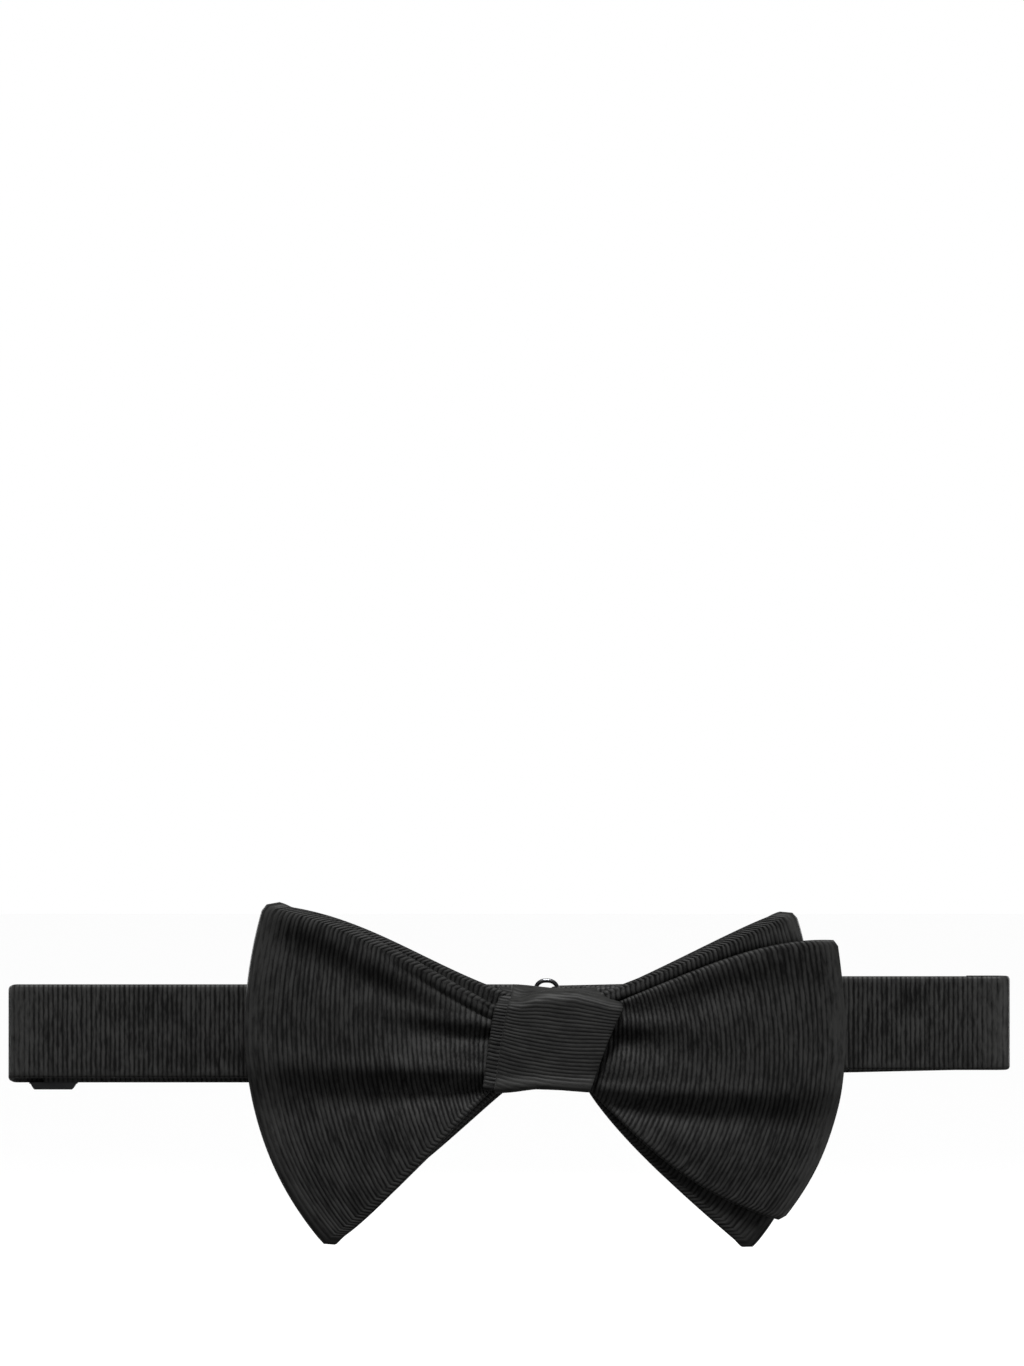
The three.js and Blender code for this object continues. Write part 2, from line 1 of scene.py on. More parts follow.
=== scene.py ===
# A grosgrain bow tie, ready tied, with its adjustable neckband folded flat behind it.
# Shapes are worked out in millimetres, in the CAD frame: +X is the viewer's right, -Y the
# front of the bow and +Z up. Meshes are written in metres.
import math

import bmesh
import bpy
import numpy as np

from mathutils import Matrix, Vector


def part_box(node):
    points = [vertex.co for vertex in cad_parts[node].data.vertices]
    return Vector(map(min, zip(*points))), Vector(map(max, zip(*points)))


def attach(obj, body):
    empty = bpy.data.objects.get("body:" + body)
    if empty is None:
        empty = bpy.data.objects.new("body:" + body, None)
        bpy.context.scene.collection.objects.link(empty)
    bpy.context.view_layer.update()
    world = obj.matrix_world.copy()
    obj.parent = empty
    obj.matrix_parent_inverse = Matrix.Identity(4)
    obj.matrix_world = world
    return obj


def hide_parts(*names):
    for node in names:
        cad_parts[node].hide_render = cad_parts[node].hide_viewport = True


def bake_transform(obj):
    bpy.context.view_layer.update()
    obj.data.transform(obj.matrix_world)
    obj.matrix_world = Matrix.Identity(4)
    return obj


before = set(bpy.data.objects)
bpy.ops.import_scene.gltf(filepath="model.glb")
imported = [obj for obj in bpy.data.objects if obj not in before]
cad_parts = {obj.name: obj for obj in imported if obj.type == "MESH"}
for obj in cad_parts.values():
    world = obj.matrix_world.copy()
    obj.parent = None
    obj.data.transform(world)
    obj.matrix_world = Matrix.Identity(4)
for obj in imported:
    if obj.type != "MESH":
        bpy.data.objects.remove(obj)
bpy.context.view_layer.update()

MM = 0.001
RIB = 1.0  # from one rib of the grosgrain to the next
ROWS_PER_RIB = 4
ROW = RIB / ROWS_PER_RIB
RIB_PROFILE = (-1.0, 0.35, 1.0, 0.35)  # the height of a rib's four rows, from its valley

# ---- the dimensions that the CAD model has ----
BAND = dict(width=19.8, thick=1.3, left_end=-114.9, right_end=95.6, left_z=0.8, right_z=2.5,
            rise=(12, 60), arm_y=4.1, left_arm_z=-0.3, right_arm_end_z=0.4)
STRAP = dict(thick=0.7, width=19.4)  # the turned-back ends
SLIDER = dict(x=-105.45, bar=2.1)
RETURN_Y, TAIL_REACH, SEAT_GAP = 0.9, 2.2, 0.3
HOOK_X = -50.0
RING = dict(x=0.65, spacing=4.8, wire=0.9, half_height=10.9, corner=2.1, tab_length=12)
KNOT = dict(front=-10.6, back=0.95, top=9.4, bottom=-11.5, radius=2.6, back_radius=0.9,
            left_top=-9.5, left_bottom=-12.6, right_top=14.6, right_bottom=6.9,
            back_left=-8.8, back_right_top=8.8, back_right_bottom=6.6)
WAIST_Y = dict(front=-7.6, middle=-5.45, rear=-3.3)
FRONT_RUN_Y = -BAND["thick"] / 2
FOLD_RADIUS = (BAND["arm_y"] - FRONT_RUN_Y) / 2
FOLD_Y = (BAND["arm_y"] + FRONT_RUN_Y) / 2
LEFT_FOLD_X = BAND["left_end"] + FOLD_RADIUS + BAND["thick"] / 2
RIGHT_FOLD_X = BAND["right_end"] - FOLD_RADIUS - BAND["thick"] / 2
TAB_LEG_Y = BAND["arm_y"] - RING["wire"] - STRAP["thick"] - 2 * SEAT_GAP
TAIL_Y = BAND["arm_y"] - (BAND["thick"] + STRAP["thick"] + SEAT_GAP) / 2
HOOK_Y = (RETURN_Y + BAND["arm_y"]) / 2

# Each panel of the bow has a rim, and a top and a bottom edge that run out to it from the knot,
# all bezier curves in x and z. Its ribs lean by shear and bend by bow, as shares of its length.
LEFT_LOOP_RIM = [[-47.5, -44.3], [-67.5, -22], [-67.5, 6], [-60.6, 28.4]]
RIGHT_LOOP_RIM = [[40.6, -44.9], [59, -25], [56, 8], [50, 26.4]]
PANELS = dict(
    left_loop_front=dict(
        rim=LEFT_LOOP_RIM, top=[[-8.5, 3.8], [-24, 11.5], [-40, 23.5]],
        bottom=[[-12.3, -9.9], [-20, -16.4], [-36, -35.5]],
        waist_y=WAIST_Y["front"], rim_y=-9, swell=1.3, shear=0.02, bow=-0.03),
    left_loop_rear=dict(
        rim=LEFT_LOOP_RIM, top=[[-5, 7], [-25, 13], [-38, 24]],
        bottom=[[-9.8, -9.7], [-18, -15], [-36, -35.5]],
        waist_y=WAIST_Y["middle"], rim_y=-5.6, swell=0.4, shear=0.0, bow=0.0),
    left_end=dict(
        rim=[[-45.5, -37.5], [-61, -19], [-60, 2], [-57, 21.5]],
        top=[[-9, 7.6], [-24, 12.3], [-40, 20.5]],
        bottom=[[-9, -9.9], [-19, -17.5], [-31, -31]],
        waist_y=WAIST_Y["rear"], rim_y=-3.2, swell=0, shear=0.0, bow=0.0),
    right_end=dict(
        rim=[[47.5, -38.4], [63.5, -19], [61.5, 2], [59, 19.8]],
        top=[[9, 5], [27, 12], [42, 20.5]],
        bottom=[[6.3, -9.9], [18, -21], [27, -32]],
        waist_y=WAIST_Y["front"], rim_y=-8.6, swell=0.8, shear=-0.075, bow=0.03),
    right_loop_front=dict(
        rim=RIGHT_LOOP_RIM, top=[[5, 7], [24, 13.5], [38, 21.5]],
        bottom=[[6.3, -9.9], [14.5, -22], [27, -33]],
        waist_y=WAIST_Y["middle"], rim_y=-7.0, swell=0.9, shear=0.0, bow=0.0),
    right_loop_rear=dict(
        rim=RIGHT_LOOP_RIM, top=[[9, 7.6], [24, 14.3], [38, 22]],
        bottom=[[6.3, -9.9], [14.5, -22.5], [27, -33]],
        waist_y=WAIST_Y["rear"], rim_y=-3.2, swell=0, shear=0.0, bow=0.0),
)
LOOP_REACH = dict(left=2.3, right=2.0)
CAD_STRIP_HALF = 0.75
STRIP_HALF = 0.55  # half of the strip's thickness as it is seen
RIM_PAST = CAD_STRIP_HALF - STRIP_HALF
RIM_LENGTH = 76.0
LOOP_CORNER, END_CORNER = (1.5, 2.8), (0.5, 0.5)  # rounding of the wings' corners, low and high

# Creases that run out from the knot, each given at places across the wing: the height of its
# line, its width, and how steeply the cloth falls away there. Swells are broad soft rises.
LEFT_CREASES = [
    dict(x=[-64, -56, -45, -33, -22, -13, -8], z=[-8.8, -8.4, -8.2, -8.3, -8.6, -8.5, -8.2],
         width=[5.0, 4.2, 3.2, 2.5, 2.1, 1.8, 1.7], step=[0.6, 1.5, 1.9, 1.9, 1.8, 1.4, 0.4]),
    dict(x=[-44, -36, -30, -24, -19, -13, -8], z=[6.5, 4.6, 3.6, 2.6, 2.0, 1.5, 1.5],
         width=[3.0, 2.6, 2.0, 1.7, 1.5, 1.4, 1.4], step=[0, 0.4, 0.9, 1.1, 1.1, 1.0, 0.3]),
    dict(x=[-62, -54, -46, -42, -36, -27, -20], z=[24.5, 22.0, 18.2, 15.8, 13.0, 8.4, 5.6],
         width=[3.2, 3.0, 2.8, 2.4, 2.4, 2.1, 1.8], step=[0.2, 1.2, 1.5, 0.9, 1.3, 0.3, 0]),
]
RIGHT_CREASES = [
    dict(x=[6, 10, 18, 31, 47, 60], z=[-11.0, -11.8, -12.6, -13.1, -13.4, -13.6],
         width=[1.4, 1.5, 1.8, 2.2, 2.6, 3.2], step=[0.3, 1.1, 1.5, 1.55, 1.25, 0.3]),
    dict(x=[7, 12, 18, 26, 36], z=[2.0, 1.6, 1.2, 0.4, -0.6],
         width=[1.7, 1.7, 1.9, 2.4, 3.0], step=[0.4, 1.4, 1.1, 0.4, 0]),
    dict(x=[14, 24, 34, 46, 57], z=[6.6, 9.0, 12.2, 15.0, 16.5],
         width=[1.5, 1.8, 2.2, 2.8, 3.0], step=[0.2, 0.6, 1.0, 0.8, 0]),
]
# Finer ones that only one strip has: where the front loop's edge rolls over, and where the flat
# end presses on the loop behind it.
FRONT_CREASES = [
    dict(x=[-36, -32, -26, -20, -13, -9, -7], z=[17.0, 14.9, 11.5, 8.0, 4.0, 1.9, 1.0],
         width=[0.9, 0.8, 0.7, 0.65, 0.6, 0.6, 0.6], step=[0, 0.35, 0.5, 0.5, 0.45, 0.3, 0]),
]
REAR_CREASES = [
    dict(x=[6, 8, 14, 20, 30, 40, 50, 58], z=[4.9, 5.6, 7.9, 10.2, 14.4, 18.0, 20.1, 20.5],
         width=[0.9, 0.9, 1.0, 1.1, 1.3, 1.5, 1.6, 1.6],
         step=[0, 0.6, 0.9, 1.0, 1.1, 1.1, 0.9, 0.3]),
]
LEFT_SWELLS = [dict(x=[-62, -45, -25, -10], z=[-4, -3.5, -4, -4.5],
                    width=[9, 6, 4, 3.5], height=[0.4, 0.5, 0.5, 0.3])]
RIGHT_SWELLS = [dict(x=[8, 25, 45, 58], z=[-6.5, -8, -9, -9.5],
                     width=[3.5, 4.5, 6.5, 8], height=[0.4, 0.5, 0.6, 0.8])]
LOWER_SPREAD = 2.2  # below its line, a crease opens out this many times as slowly as above
SIDES_MEET = 6  # this far to each side of the middle, the left creases give way to the right ones
LAYER_SHARE = dict(front=1.0, middle=0.8, rear=0.55)  # how much of the folds each layer takes


# ---- curves and grids ----
def smooth(t):
    t = np.clip(t, 0, 1)
    return t * t * (3 - 2 * t)


def mix(a, b, t):
    return a + (b - a) * t


def unit(v):
    return v / np.maximum(np.linalg.norm(v, axis=-1, keepdims=True), 1e-9)


def lengths_along(points):
    """How far each point is along a line through them all."""
    return np.concatenate([[0], np.cumsum(np.linalg.norm(np.diff(points, axis=0), axis=1))])


def bezier(points, t):
    a, b, c, d = (np.asarray(p, float) for p in points)
    t = np.asarray(t, float)[..., None]
    m = 1 - t
    return m**3 * a + 3 * m * m * t * b + 3 * m * t * t * c + t**3 * d


RIM_STEP = 0.02  # share of a rim's length to each side that its direction is measured over


def rim_normal(rim, t, side):
    d = bezier(rim, np.minimum(1, t + RIM_STEP)) - bezier(rim, np.maximum(0, t - RIM_STEP))
    d /= np.linalg.norm(d, axis=-1, keepdims=True)
    return np.stack([side * np.abs(d[..., 1]), -side * d[..., 0] * np.sign(d[..., 1])], -1)


def fold_relief(x, z, own_creases):
    """How far the cloth stands out towards the front because of its creases and swells."""
    total = np.zeros_like(x)
    right = smooth((x + SIDES_MEET) / (2 * SIDES_MEET))
    for creases, swells, share in (
            (LEFT_CREASES, LEFT_SWELLS, 1 - right),
            (RIGHT_CREASES, RIGHT_SWELLS, right),
            (own_creases, [], 1)):
        for c in creases:
            across = (z - np.interp(x, c["x"], c["z"])) / np.interp(x, c["x"], c["width"])
            reach = np.where(across > 0, 1.0, LOWER_SPREAD)
            step = np.interp(x, c["x"], c["step"])
            total += share * step * across * np.exp(-(across / reach) ** 2)
        for c in swells:
            across = (z - np.interp(x, c["x"], c["z"])) / np.interp(x, c["x"], c["width"])
            total += share * np.interp(x, c["x"], c["height"]) * np.exp(-across**2)
    return total


def corner_inset(s, round_mm):
    """How far a panel's rim draws in where it nears the strip's long edges."""
    radius = np.where(s > 0.5, round_mm[1], round_mm[0])
    near = np.minimum(s, 1 - s) * RIM_LENGTH / radius
    return radius * (1 - np.sqrt(1 - np.clip(1 - near, 0, 1) ** 2))


def panel_flat(panel, u, s, inset, side):
    """x and z of a panel at u, from knot to rim, and s, from its bottom edge to its top edge."""
    rim_curve = panel["rim"]
    inset = inset + corner_inset(s, LOOP_CORNER if np.any(inset) else END_CORNER)
    u, s, inset = np.broadcast_arrays(
        np.asarray(u, float)[:, None], np.asarray(s, float)[None, :], inset)
    height = 2 * s - 1
    u = u + (panel["shear"] * height + panel["bow"] * (1 - height ** 2)) * np.sin(math.pi * u)
    rim = bezier(rim_curve, s) - inset[..., None] * rim_normal(rim_curve, s, side)
    ends = [bezier(rim_curve, np.array(t)) - inset[0, 0] * rim_normal(rim_curve, np.array(t), side)
            for t in (0.0, 1.0)]
    low, high = bezier([*panel["bottom"], ends[0]], u), bezier([*panel["top"], ends[1]], u)
    chord = mix(ends[0], ends[1], s[..., None])
    return mix(low, high, s[..., None]) + u[..., None] * (rim - chord), u


def panel_grid(panel, u, s, inset, side):
    flat, u = panel_flat(panel, u, s, inset, side)
    depth = mix(panel["waist_y"], panel["rim_y"], smooth(u)) - panel["swell"] * np.sin(math.pi * u)
    return np.stack([flat[..., 0], depth, flat[..., 1]], -1)


def fold_grid(front, rear, angles, s, reach, side):
    """The turn of a loop at its rim, from one of its layers to the other."""
    a = panel_grid(front, np.array([1.0]), s, reach + STRIP_HALF - RIM_PAST, side)[0]
    b = panel_grid(rear, np.array([1.0]), s, reach + STRIP_HALF - RIM_PAST, side)[0]
    normal = rim_normal(front["rim"], s, side)
    rows = []
    for angle in angles:
        out = reach * math.sin(angle)
        depth = (a[:, 1] + b[:, 1]) / 2 + (a[:, 1] - b[:, 1]) / 2 * math.cos(angle)
        x, z = a[:, 0] + normal[:, 0] * out, a[:, 2] + normal[:, 1] * out
        rows.append(np.stack([x, depth, z], -1))
    return np.array(rows)


PANEL_ROWS, TURN_ROWS, WAIST_ROWS = 240, 32, 60  # before the rows are spaced evenly
BOW_COLUMNS = 61
END_PRESSED_AND_HIGHLIGHT = 18  # rows over which a flat end is pressed smooth, with painted highlight on its turned end
EDGE_LIGHTER_REACH = 1.6  # how far in from a long edge the cloth is lighter and smoother
# lighter cloth at the loops' rims, the flat ends and the long edges: partly wear, partly painted
# highlight where these rolled edges catch the light
BOW_WEAR_AND_HIGHLIGHT = dict(rim=0.6, rim_reach=1.3, end=0.9, end_reach=1.2, edge=0.2)


def strip_middle(first, second, flat_end, side, face_y, reach, layers, own_creases):
    """The middle surface of a bow strip, one row each ROW along it, with its folds. With it goes
    how much the cloth is pressed smooth and painted lighter at each point, from 0 to 1: wear, and
    painted highlight on the loops' rims, the flat ends and the long edges."""
    s = np.linspace(0, 1, BOW_COLUMNS)
    inset = reach + STRIP_HALF - RIM_PAST
    u = np.linspace(0, 1, PANEL_ROWS)
    out = panel_grid(first, u, s, inset, side)
    home = panel_grid(second, u[::-1], s, inset, side)
    flat = panel_grid(flat_end, u, s, 0, -side)
    front, rear = (second, first) if face_y < 0 else (first, second)
    angles = np.linspace(0, math.pi, TURN_ROWS)[1:-1]
    turn = fold_grid(front, rear, angles[::-1] if face_y < 0 else angles, s, reach, side)
    waist = np.array([mix(home[-1], flat[0], t) for t in np.linspace(0, 1, WAIST_ROWS)[1:-1]])
    share = np.concatenate([
        np.full(PANEL_ROWS, layers[0]), np.linspace(layers[0], layers[1], len(turn)),
        np.full(PANEL_ROWS, layers[1]), np.linspace(layers[1], layers[2], len(waist)),
        np.full(PANEL_ROWS, layers[2])])
    grid = np.concatenate([out, turn, home, waist, flat])
    grid[..., 1] -= share[:, None] * fold_relief(grid[..., 0], grid[..., 2], own_creases)

    # the rims, flat ends and long edges are painted lighter: partly wear, partly painted highlight
    wear_and_highlight = BOW_WEAR_AND_HIGHLIGHT
    from_rim = np.abs(np.arange(len(grid)) - PANEL_ROWS - len(turn) / 2) / len(turn)
    from_end = np.arange(len(grid))[::-1] / END_PRESSED_AND_HIGHLIGHT
    edge_wear_and_highlight = np.clip(1 - np.minimum(s, 1 - s) * RIM_LENGTH / EDGE_LIGHTER_REACH, 0, 1)
    ends_wear_and_highlight = np.maximum(wear_and_highlight["rim"] * np.clip(wear_and_highlight["rim_reach"] - from_rim, 0, 1),
                         wear_and_highlight["end"] * np.clip(wear_and_highlight["end_reach"] - from_end, 0, 1))
    pressed_and_highlight = np.maximum(ends_wear_and_highlight[:, None], wear_and_highlight["edge"] * edge_wear_and_highlight[None])
    grid = by_length(np.concatenate([grid, pressed_and_highlight[..., None]], -1), ROW)
    return grid[..., :3], grid[..., 3]


def by_length(grid, step):
    """The grid's rows, spaced evenly along its middle."""
    along = lengths_along(grid[:, grid.shape[1] // 2])
    count = int(along[-1] / step)
    at = np.interp(np.linspace(0, along[-1], count + 1), along, np.arange(len(along)))
    low = np.minimum(at.astype(int), len(along) - 2)
    return mix(grid[low], grid[low + 1], (at - low)[:, None, None])


def blurred(grid, reach):
    padded = np.concatenate([grid[:1].repeat(reach, 0), grid, grid[-1:].repeat(reach, 0)])
    return sum(padded[i:i + len(grid)] for i in range(2 * reach + 1)) / (2 * reach + 1)


NORMAL_BLUR = 4  # rows to each side, so that ribs and creases stand up evenly


def raw_normals(grid):
    return unit(np.cross(np.gradient(grid, axis=0), np.gradient(grid, axis=1)))


def normals_of(grid, first_face):
    """Normals of a strip's middle surface. Near its start they face the way of first_face."""
    n = unit(blurred(raw_normals(grid), NORMAL_BLUR))
    return -n if (n[len(n) // 12] * np.array(first_face)).sum() < 0 else n


# ---- meshes ----
SHARP = math.radians(65)  # only a strip's cut ends turn more sharply
EDGE_STEPS = 3  # points round each long edge of a sheet


def rib_height(rows):
    return np.array([RIB_PROFILE[i % ROWS_PER_RIB] for i in range(rows)])


def add_mesh(name, points, faces, weave, pressed_and_highlight=None):
    mesh = bpy.data.meshes.new(name)
    mesh.from_pydata([tuple(p) for p in np.asarray(points) * MM], [], faces)
    attribute = mesh.attributes.new("weave", "FLOAT_VECTOR", "POINT")
    attribute.data.foreach_set("vector", np.asarray(weave, np.float32).ravel())
    if pressed_and_highlight is not None:
        attribute = mesh.attributes.new("pressed_and_highlight", "FLOAT", "POINT")
        attribute.data.foreach_set("value", pressed_and_highlight.astype(np.float32).ravel())
    mesh.polygons.foreach_set("use_smooth", [True] * len(mesh.polygons))
    mesh.update()
    obj = bpy.data.objects.new(name, mesh)
    bpy.context.scene.collection.objects.link(obj)
    return obj


def end_caps(count, side):
    """Faces that close a ring of count points whose two flat sides have side points each."""
    edge = (count - 2 * side) // 2
    caps = [[k, k + 1, count - edge - 2 - k, count - edge - 1 - k] for k in range(side - 1)]
    caps.append(list(range(side - 1, side + edge + 1)))
    caps.append([count - edge - 1, *range(count - edge, count), 0])
    return caps


def tube(name, rings, weave, closed_rows=False, faces_side=None, pressed_and_highlight=None):
    """A closed mesh from rings of points. Where its rows don't close into a loop, its open ends
    are closed between its two flat sides, of faces_side points each."""
    rows, count = rings.shape[:2]
    points = list(rings.reshape(-1, 3))
    weave = list(np.asarray(weave, float).reshape(-1, 3))
    faces = []
    for i in range(rows if closed_rows else rows - 1):
        a, b = i * count, ((i + 1) % rows) * count
        for j in range(count):
            k = (j + 1) % count
            faces.append((a + j, a + k, b + k, b + j))
    if not closed_rows:
        for row, turned in ((0, True), (rows - 1, False)):
            for cap in end_caps(count, faces_side):
                cap = [row * count + k for k in cap]
                faces.append(tuple(cap if turned else cap[::-1]))
    obj = add_mesh(name, points, faces, weave, pressed_and_highlight)
    if outward(points, faces) < 0:
        obj.data.flip_normals()
    obj.data.set_sharp_from_angle(angle=SHARP)
    return obj


def outward(points, faces):
    """Above zero where a closed mesh's faces look out of it."""
    p = np.asarray(points)
    triangles = np.array([f[:3] for f in faces] + [(f[0], f[2], f[3]) for f in faces if len(f) > 3])
    a, b, c = (p[triangles[:, k]] for k in range(3))
    return np.einsum("ij,ij->i", a, np.cross(b, c)).sum()


def shell_rings(middle, normal, half, ribs):
    """Rings round a sheet with its middle surface, half thickness and rounded long edges."""
    lift = ribs[:, None, None] * normal
    face, back = middle + normal * half + lift, middle - normal * half - lift
    edges = []
    for column, inner, flip in ((-1, -2, 1), (0, 1, -1)):
        out = unit(middle[:, column] - middle[:, inner])
        turn = [math.pi * (k + 1) / (EDGE_STEPS + 1) for k in range(EDGE_STEPS)]
        edges.append([middle[:, column] + out * half * math.sin(a)
                      + normal[:, column] * half * math.cos(a) * flip for a in turn])
    return np.concatenate([
        face, np.stack(edges[0], 1), back[:, ::-1], np.stack(edges[1], 1)], axis=1)


def shell_weave(middle, across_mm):
    """Where each point lies in the weave: ribs along the strip, millimetres across it, and 0 on
    its face or 1 on its back."""
    rows, columns = middle.shape[:2]
    v = np.linspace(0, 1, columns) * across_mm
    around = np.concatenate([v, np.full(EDGE_STEPS, v[-1]), v[::-1], np.full(EDGE_STEPS, 0.0)])
    side = np.concatenate([np.zeros(columns + EDGE_STEPS), np.ones(columns + EDGE_STEPS)])
    u = np.arange(rows) / ROWS_PER_RIB
    shape = (rows, len(around))
    return np.stack([np.broadcast_to(a, shape) for a in (u[:, None], around[None], side[None])], -1)


def add_shell(name, middle, normal, half, rib, across_mm, closed_rows=False, pressed_and_highlight=None):
    """A ribbed sheet. rib is how high its ribs stand, one number or one for each row."""
    rings = shell_rings(middle, normal, half, rib * rib_height(len(middle)))
    if pressed_and_highlight is not None:
        ends = [pressed_and_highlight[:, [k]].repeat(EDGE_STEPS, 1) for k in (-1, 0)]
        pressed_and_highlight = np.concatenate([pressed_and_highlight, ends[0], pressed_and_highlight[:, ::-1], ends[1]], axis=1)
    weave = shell_weave(middle, across_mm)
    return tube(name, rings, weave, closed_rows, middle.shape[1], pressed_and_highlight)


# ---- materials ----
class Nodes:
    """Shorthand for one material's nodes."""

    def __init__(self, name):
        self.material = bpy.data.materials.new(name)
        self.material.use_nodes = True
        self.tree = self.material.node_tree
        self.shader = self.tree.nodes["Principled BSDF"]

    def add(self, kind, inputs=(), **settings):
        node = self.tree.nodes.new("ShaderNode" + kind)
        for key, value in settings.items():
            setattr(node, key, value)
        for key, value in dict(inputs).items():
            self.put(node.inputs[key], value)
        return node

    def put(self, socket, value):
        if isinstance(value, bpy.types.NodeSocket):
            self.tree.links.new(value, socket)
        else:
            socket.default_value = value

    def finish(self, inputs):
        """Links or sets the shader's own sockets."""
        for key, value in inputs.items():
            self.put(self.shader.inputs[key], value)
        return self.material

    def math(self, operation, *values):
        node = self.add("Math", operation=operation)
        for socket, value in zip(node.inputs, values):
            self.put(socket, value)
        return node.outputs[0]

    def weighted(self, value, weight, middle=0.0):
        if middle:
            value = self.math("SUBTRACT", value, middle)
        return self.math("MULTIPLY", value, weight)

    def total(self, first, *others):
        for other in others:
            first = self.math("ADD", first, other)
        return first

    def ramp(self, value, stops):
        node = self.add("ValToRGB")
        ramp = node.color_ramp
        while len(ramp.elements) < len(stops):
            ramp.elements.new(0.5)
        for element, (at, grey) in zip(ramp.elements, stops):
            element.position = at
            element.color = (*grey, 1) if isinstance(grey, tuple) else (grey, grey, grey, 1)
        self.put(node.inputs[0], value)
        return node.outputs[0]

    def noise(self, vector, scale, detail=2.0, rough=0.5):
        inputs = {"Vector": vector, "Scale": scale, "Detail": detail, "Roughness": rough}
        return self.add("TexNoise", inputs).outputs["Fac"]

    def along_weave(self, weave, scales, detail=2.0, rough=0.5):
        """A noise that is stretched differently along each direction of the weave."""
        x, y, z = (self.math("MULTIPLY", a, scale) for a, scale in zip(weave, scales))
        vector = self.add("CombineXYZ", {"X": x, "Y": y, "Z": z}).outputs[0]
        return self.noise(vector, 1.0, detail, rough)

    def bump(self, height, distance, strength=1.0):
        inputs = {"Height": height, "Distance": distance, "Strength": strength}
        return self.add("Bump", inputs).outputs[0]


# How the ribbed silk varies: the scales of each noise along the strip in ribs, across it in
# millimetres and from face to back, and how much it counts for in the tone.
WANDER = dict(scales=(0.35, 0.22, 7), weight=0.35)  # the ribs aren't quite straight
YARN = dict(scales=(2.2, 0.55, 5), weight=0.9)
SLUB = dict(scales=(0.9, 0.16, 9), weight=1.3)
CLOUD = dict(scales=(0.09, 0.10, 3), weight=0.6)
CROWN = dict(power=0.7, weight=0.8)  # how round a rib's top is; its weight in the tone paints shade into the rib valleys and highlight onto the crests
PRESSED_AND_HIGHLIGHT_CROWN = 1.2  # how a rib looks where the cloth is pressed or rubbed smooth, and where painted highlight lies on rolled edges: lighter and flatter
WARP = dict(spacing=0.23, weight=0.10)
YARN_BUMP = 0.35
SILK_ROUGHNESS = dict(valley=0.66, crest=0.50)


def grosgrain(name, valley, crest, rib_bump=0.10):
    """Ribbed silk. Its ribs follow the weave attribute, one rib to each unit of X. Its colour runs
    from the valley colour to the crest colour across each rib: painted shade in the valleys, painted
    highlight on the crests.
    """
    n = Nodes(name)
    place = n.add("Attribute", attribute_name="weave").outputs["Vector"]
    weave = n.add("SeparateXYZ", {"Vector": place}).outputs
    u, v, _ = weave
    wander = n.weighted(n.along_weave(weave, WANDER["scales"]), WANDER["weight"], 0.5)
    rib = n.math("ABSOLUTE", n.math("SINE", n.weighted(n.total(u, wander), math.pi)))
    crown = n.math("POWER", rib, CROWN["power"])
    # lighter, flatter ribs: pressed cloth, and painted highlight on rolled edges
    pressed_and_highlight = n.add("Attribute", attribute_name="pressed_and_highlight").outputs["Fac"]
    crown = n.total(crown, n.weighted(n.math("SUBTRACT", PRESSED_AND_HIGHLIGHT_CROWN, crown), pressed_and_highlight))
    yarn = n.along_weave(weave, YARN["scales"], 3.0, 0.6)
    warp = n.math("ABSOLUTE", n.math("SINE", n.weighted(v, math.pi / WARP["spacing"])))
    slub, cloud = (n.along_weave(weave, look["scales"]) for look in (SLUB, CLOUD))
    # the tone: random yarn, slub and cloud tone, with painted shade in the rib valleys and painted
    # highlight on the rib crests
    tone_and_rib_shade = n.total(
        n.weighted(crown, CROWN["weight"]), n.weighted(yarn, YARN["weight"], 0.5),
        n.weighted(slub, SLUB["weight"], 0.5), n.weighted(cloud, CLOUD["weight"], 0.5))
    height = n.total(n.weighted(crown, CROWN["weight"]), n.weighted(warp, WARP["weight"]),
                     n.weighted(yarn, YARN_BUMP))
    smoother = n.weighted(crown, SILK_ROUGHNESS["valley"] - SILK_ROUGHNESS["crest"])
    return n.finish({
        "Base Color": n.ramp(tone_and_rib_shade, [(0.3, valley), (0.95, crest)]),
        "Roughness": n.math("SUBTRACT", SILK_ROUGHNESS["valley"], smoother),
        "Normal": n.bump(height, rib_bump * MM),
        "Sheen Weight": 0.05, "Sheen Roughness": 0.4, "Sheen Tint": (0.95, 0.95, 0.95, 1),
        "Specular IOR Level": 0.16})


def plain_cloth(name, dark, light):
    """Canvas and thread: a fine plain weave."""
    n = Nodes(name)
    place = n.add("TexCoord").outputs["Object"]
    inputs = {"Vector": place, "Scale": 900.0, "Distortion": 1.5, "Detail": 2.0}
    weave = n.add("TexWave", inputs).outputs["Fac"]
    spots = n.noise(place, 1400.0, 3.0)
    mixed = n.total(n.weighted(weave, 0.5), n.weighted(spots, 0.5))
    return n.finish({
        "Base Color": n.ramp(mixed, [(0.2, dark), (0.8, light)]),
        "Roughness": n.math("ADD", 0.7, n.weighted(spots, 0.25)),
        "Normal": n.bump(mixed, 0.08 * MM, 0.6),
        "Sheen Weight": 0.1})


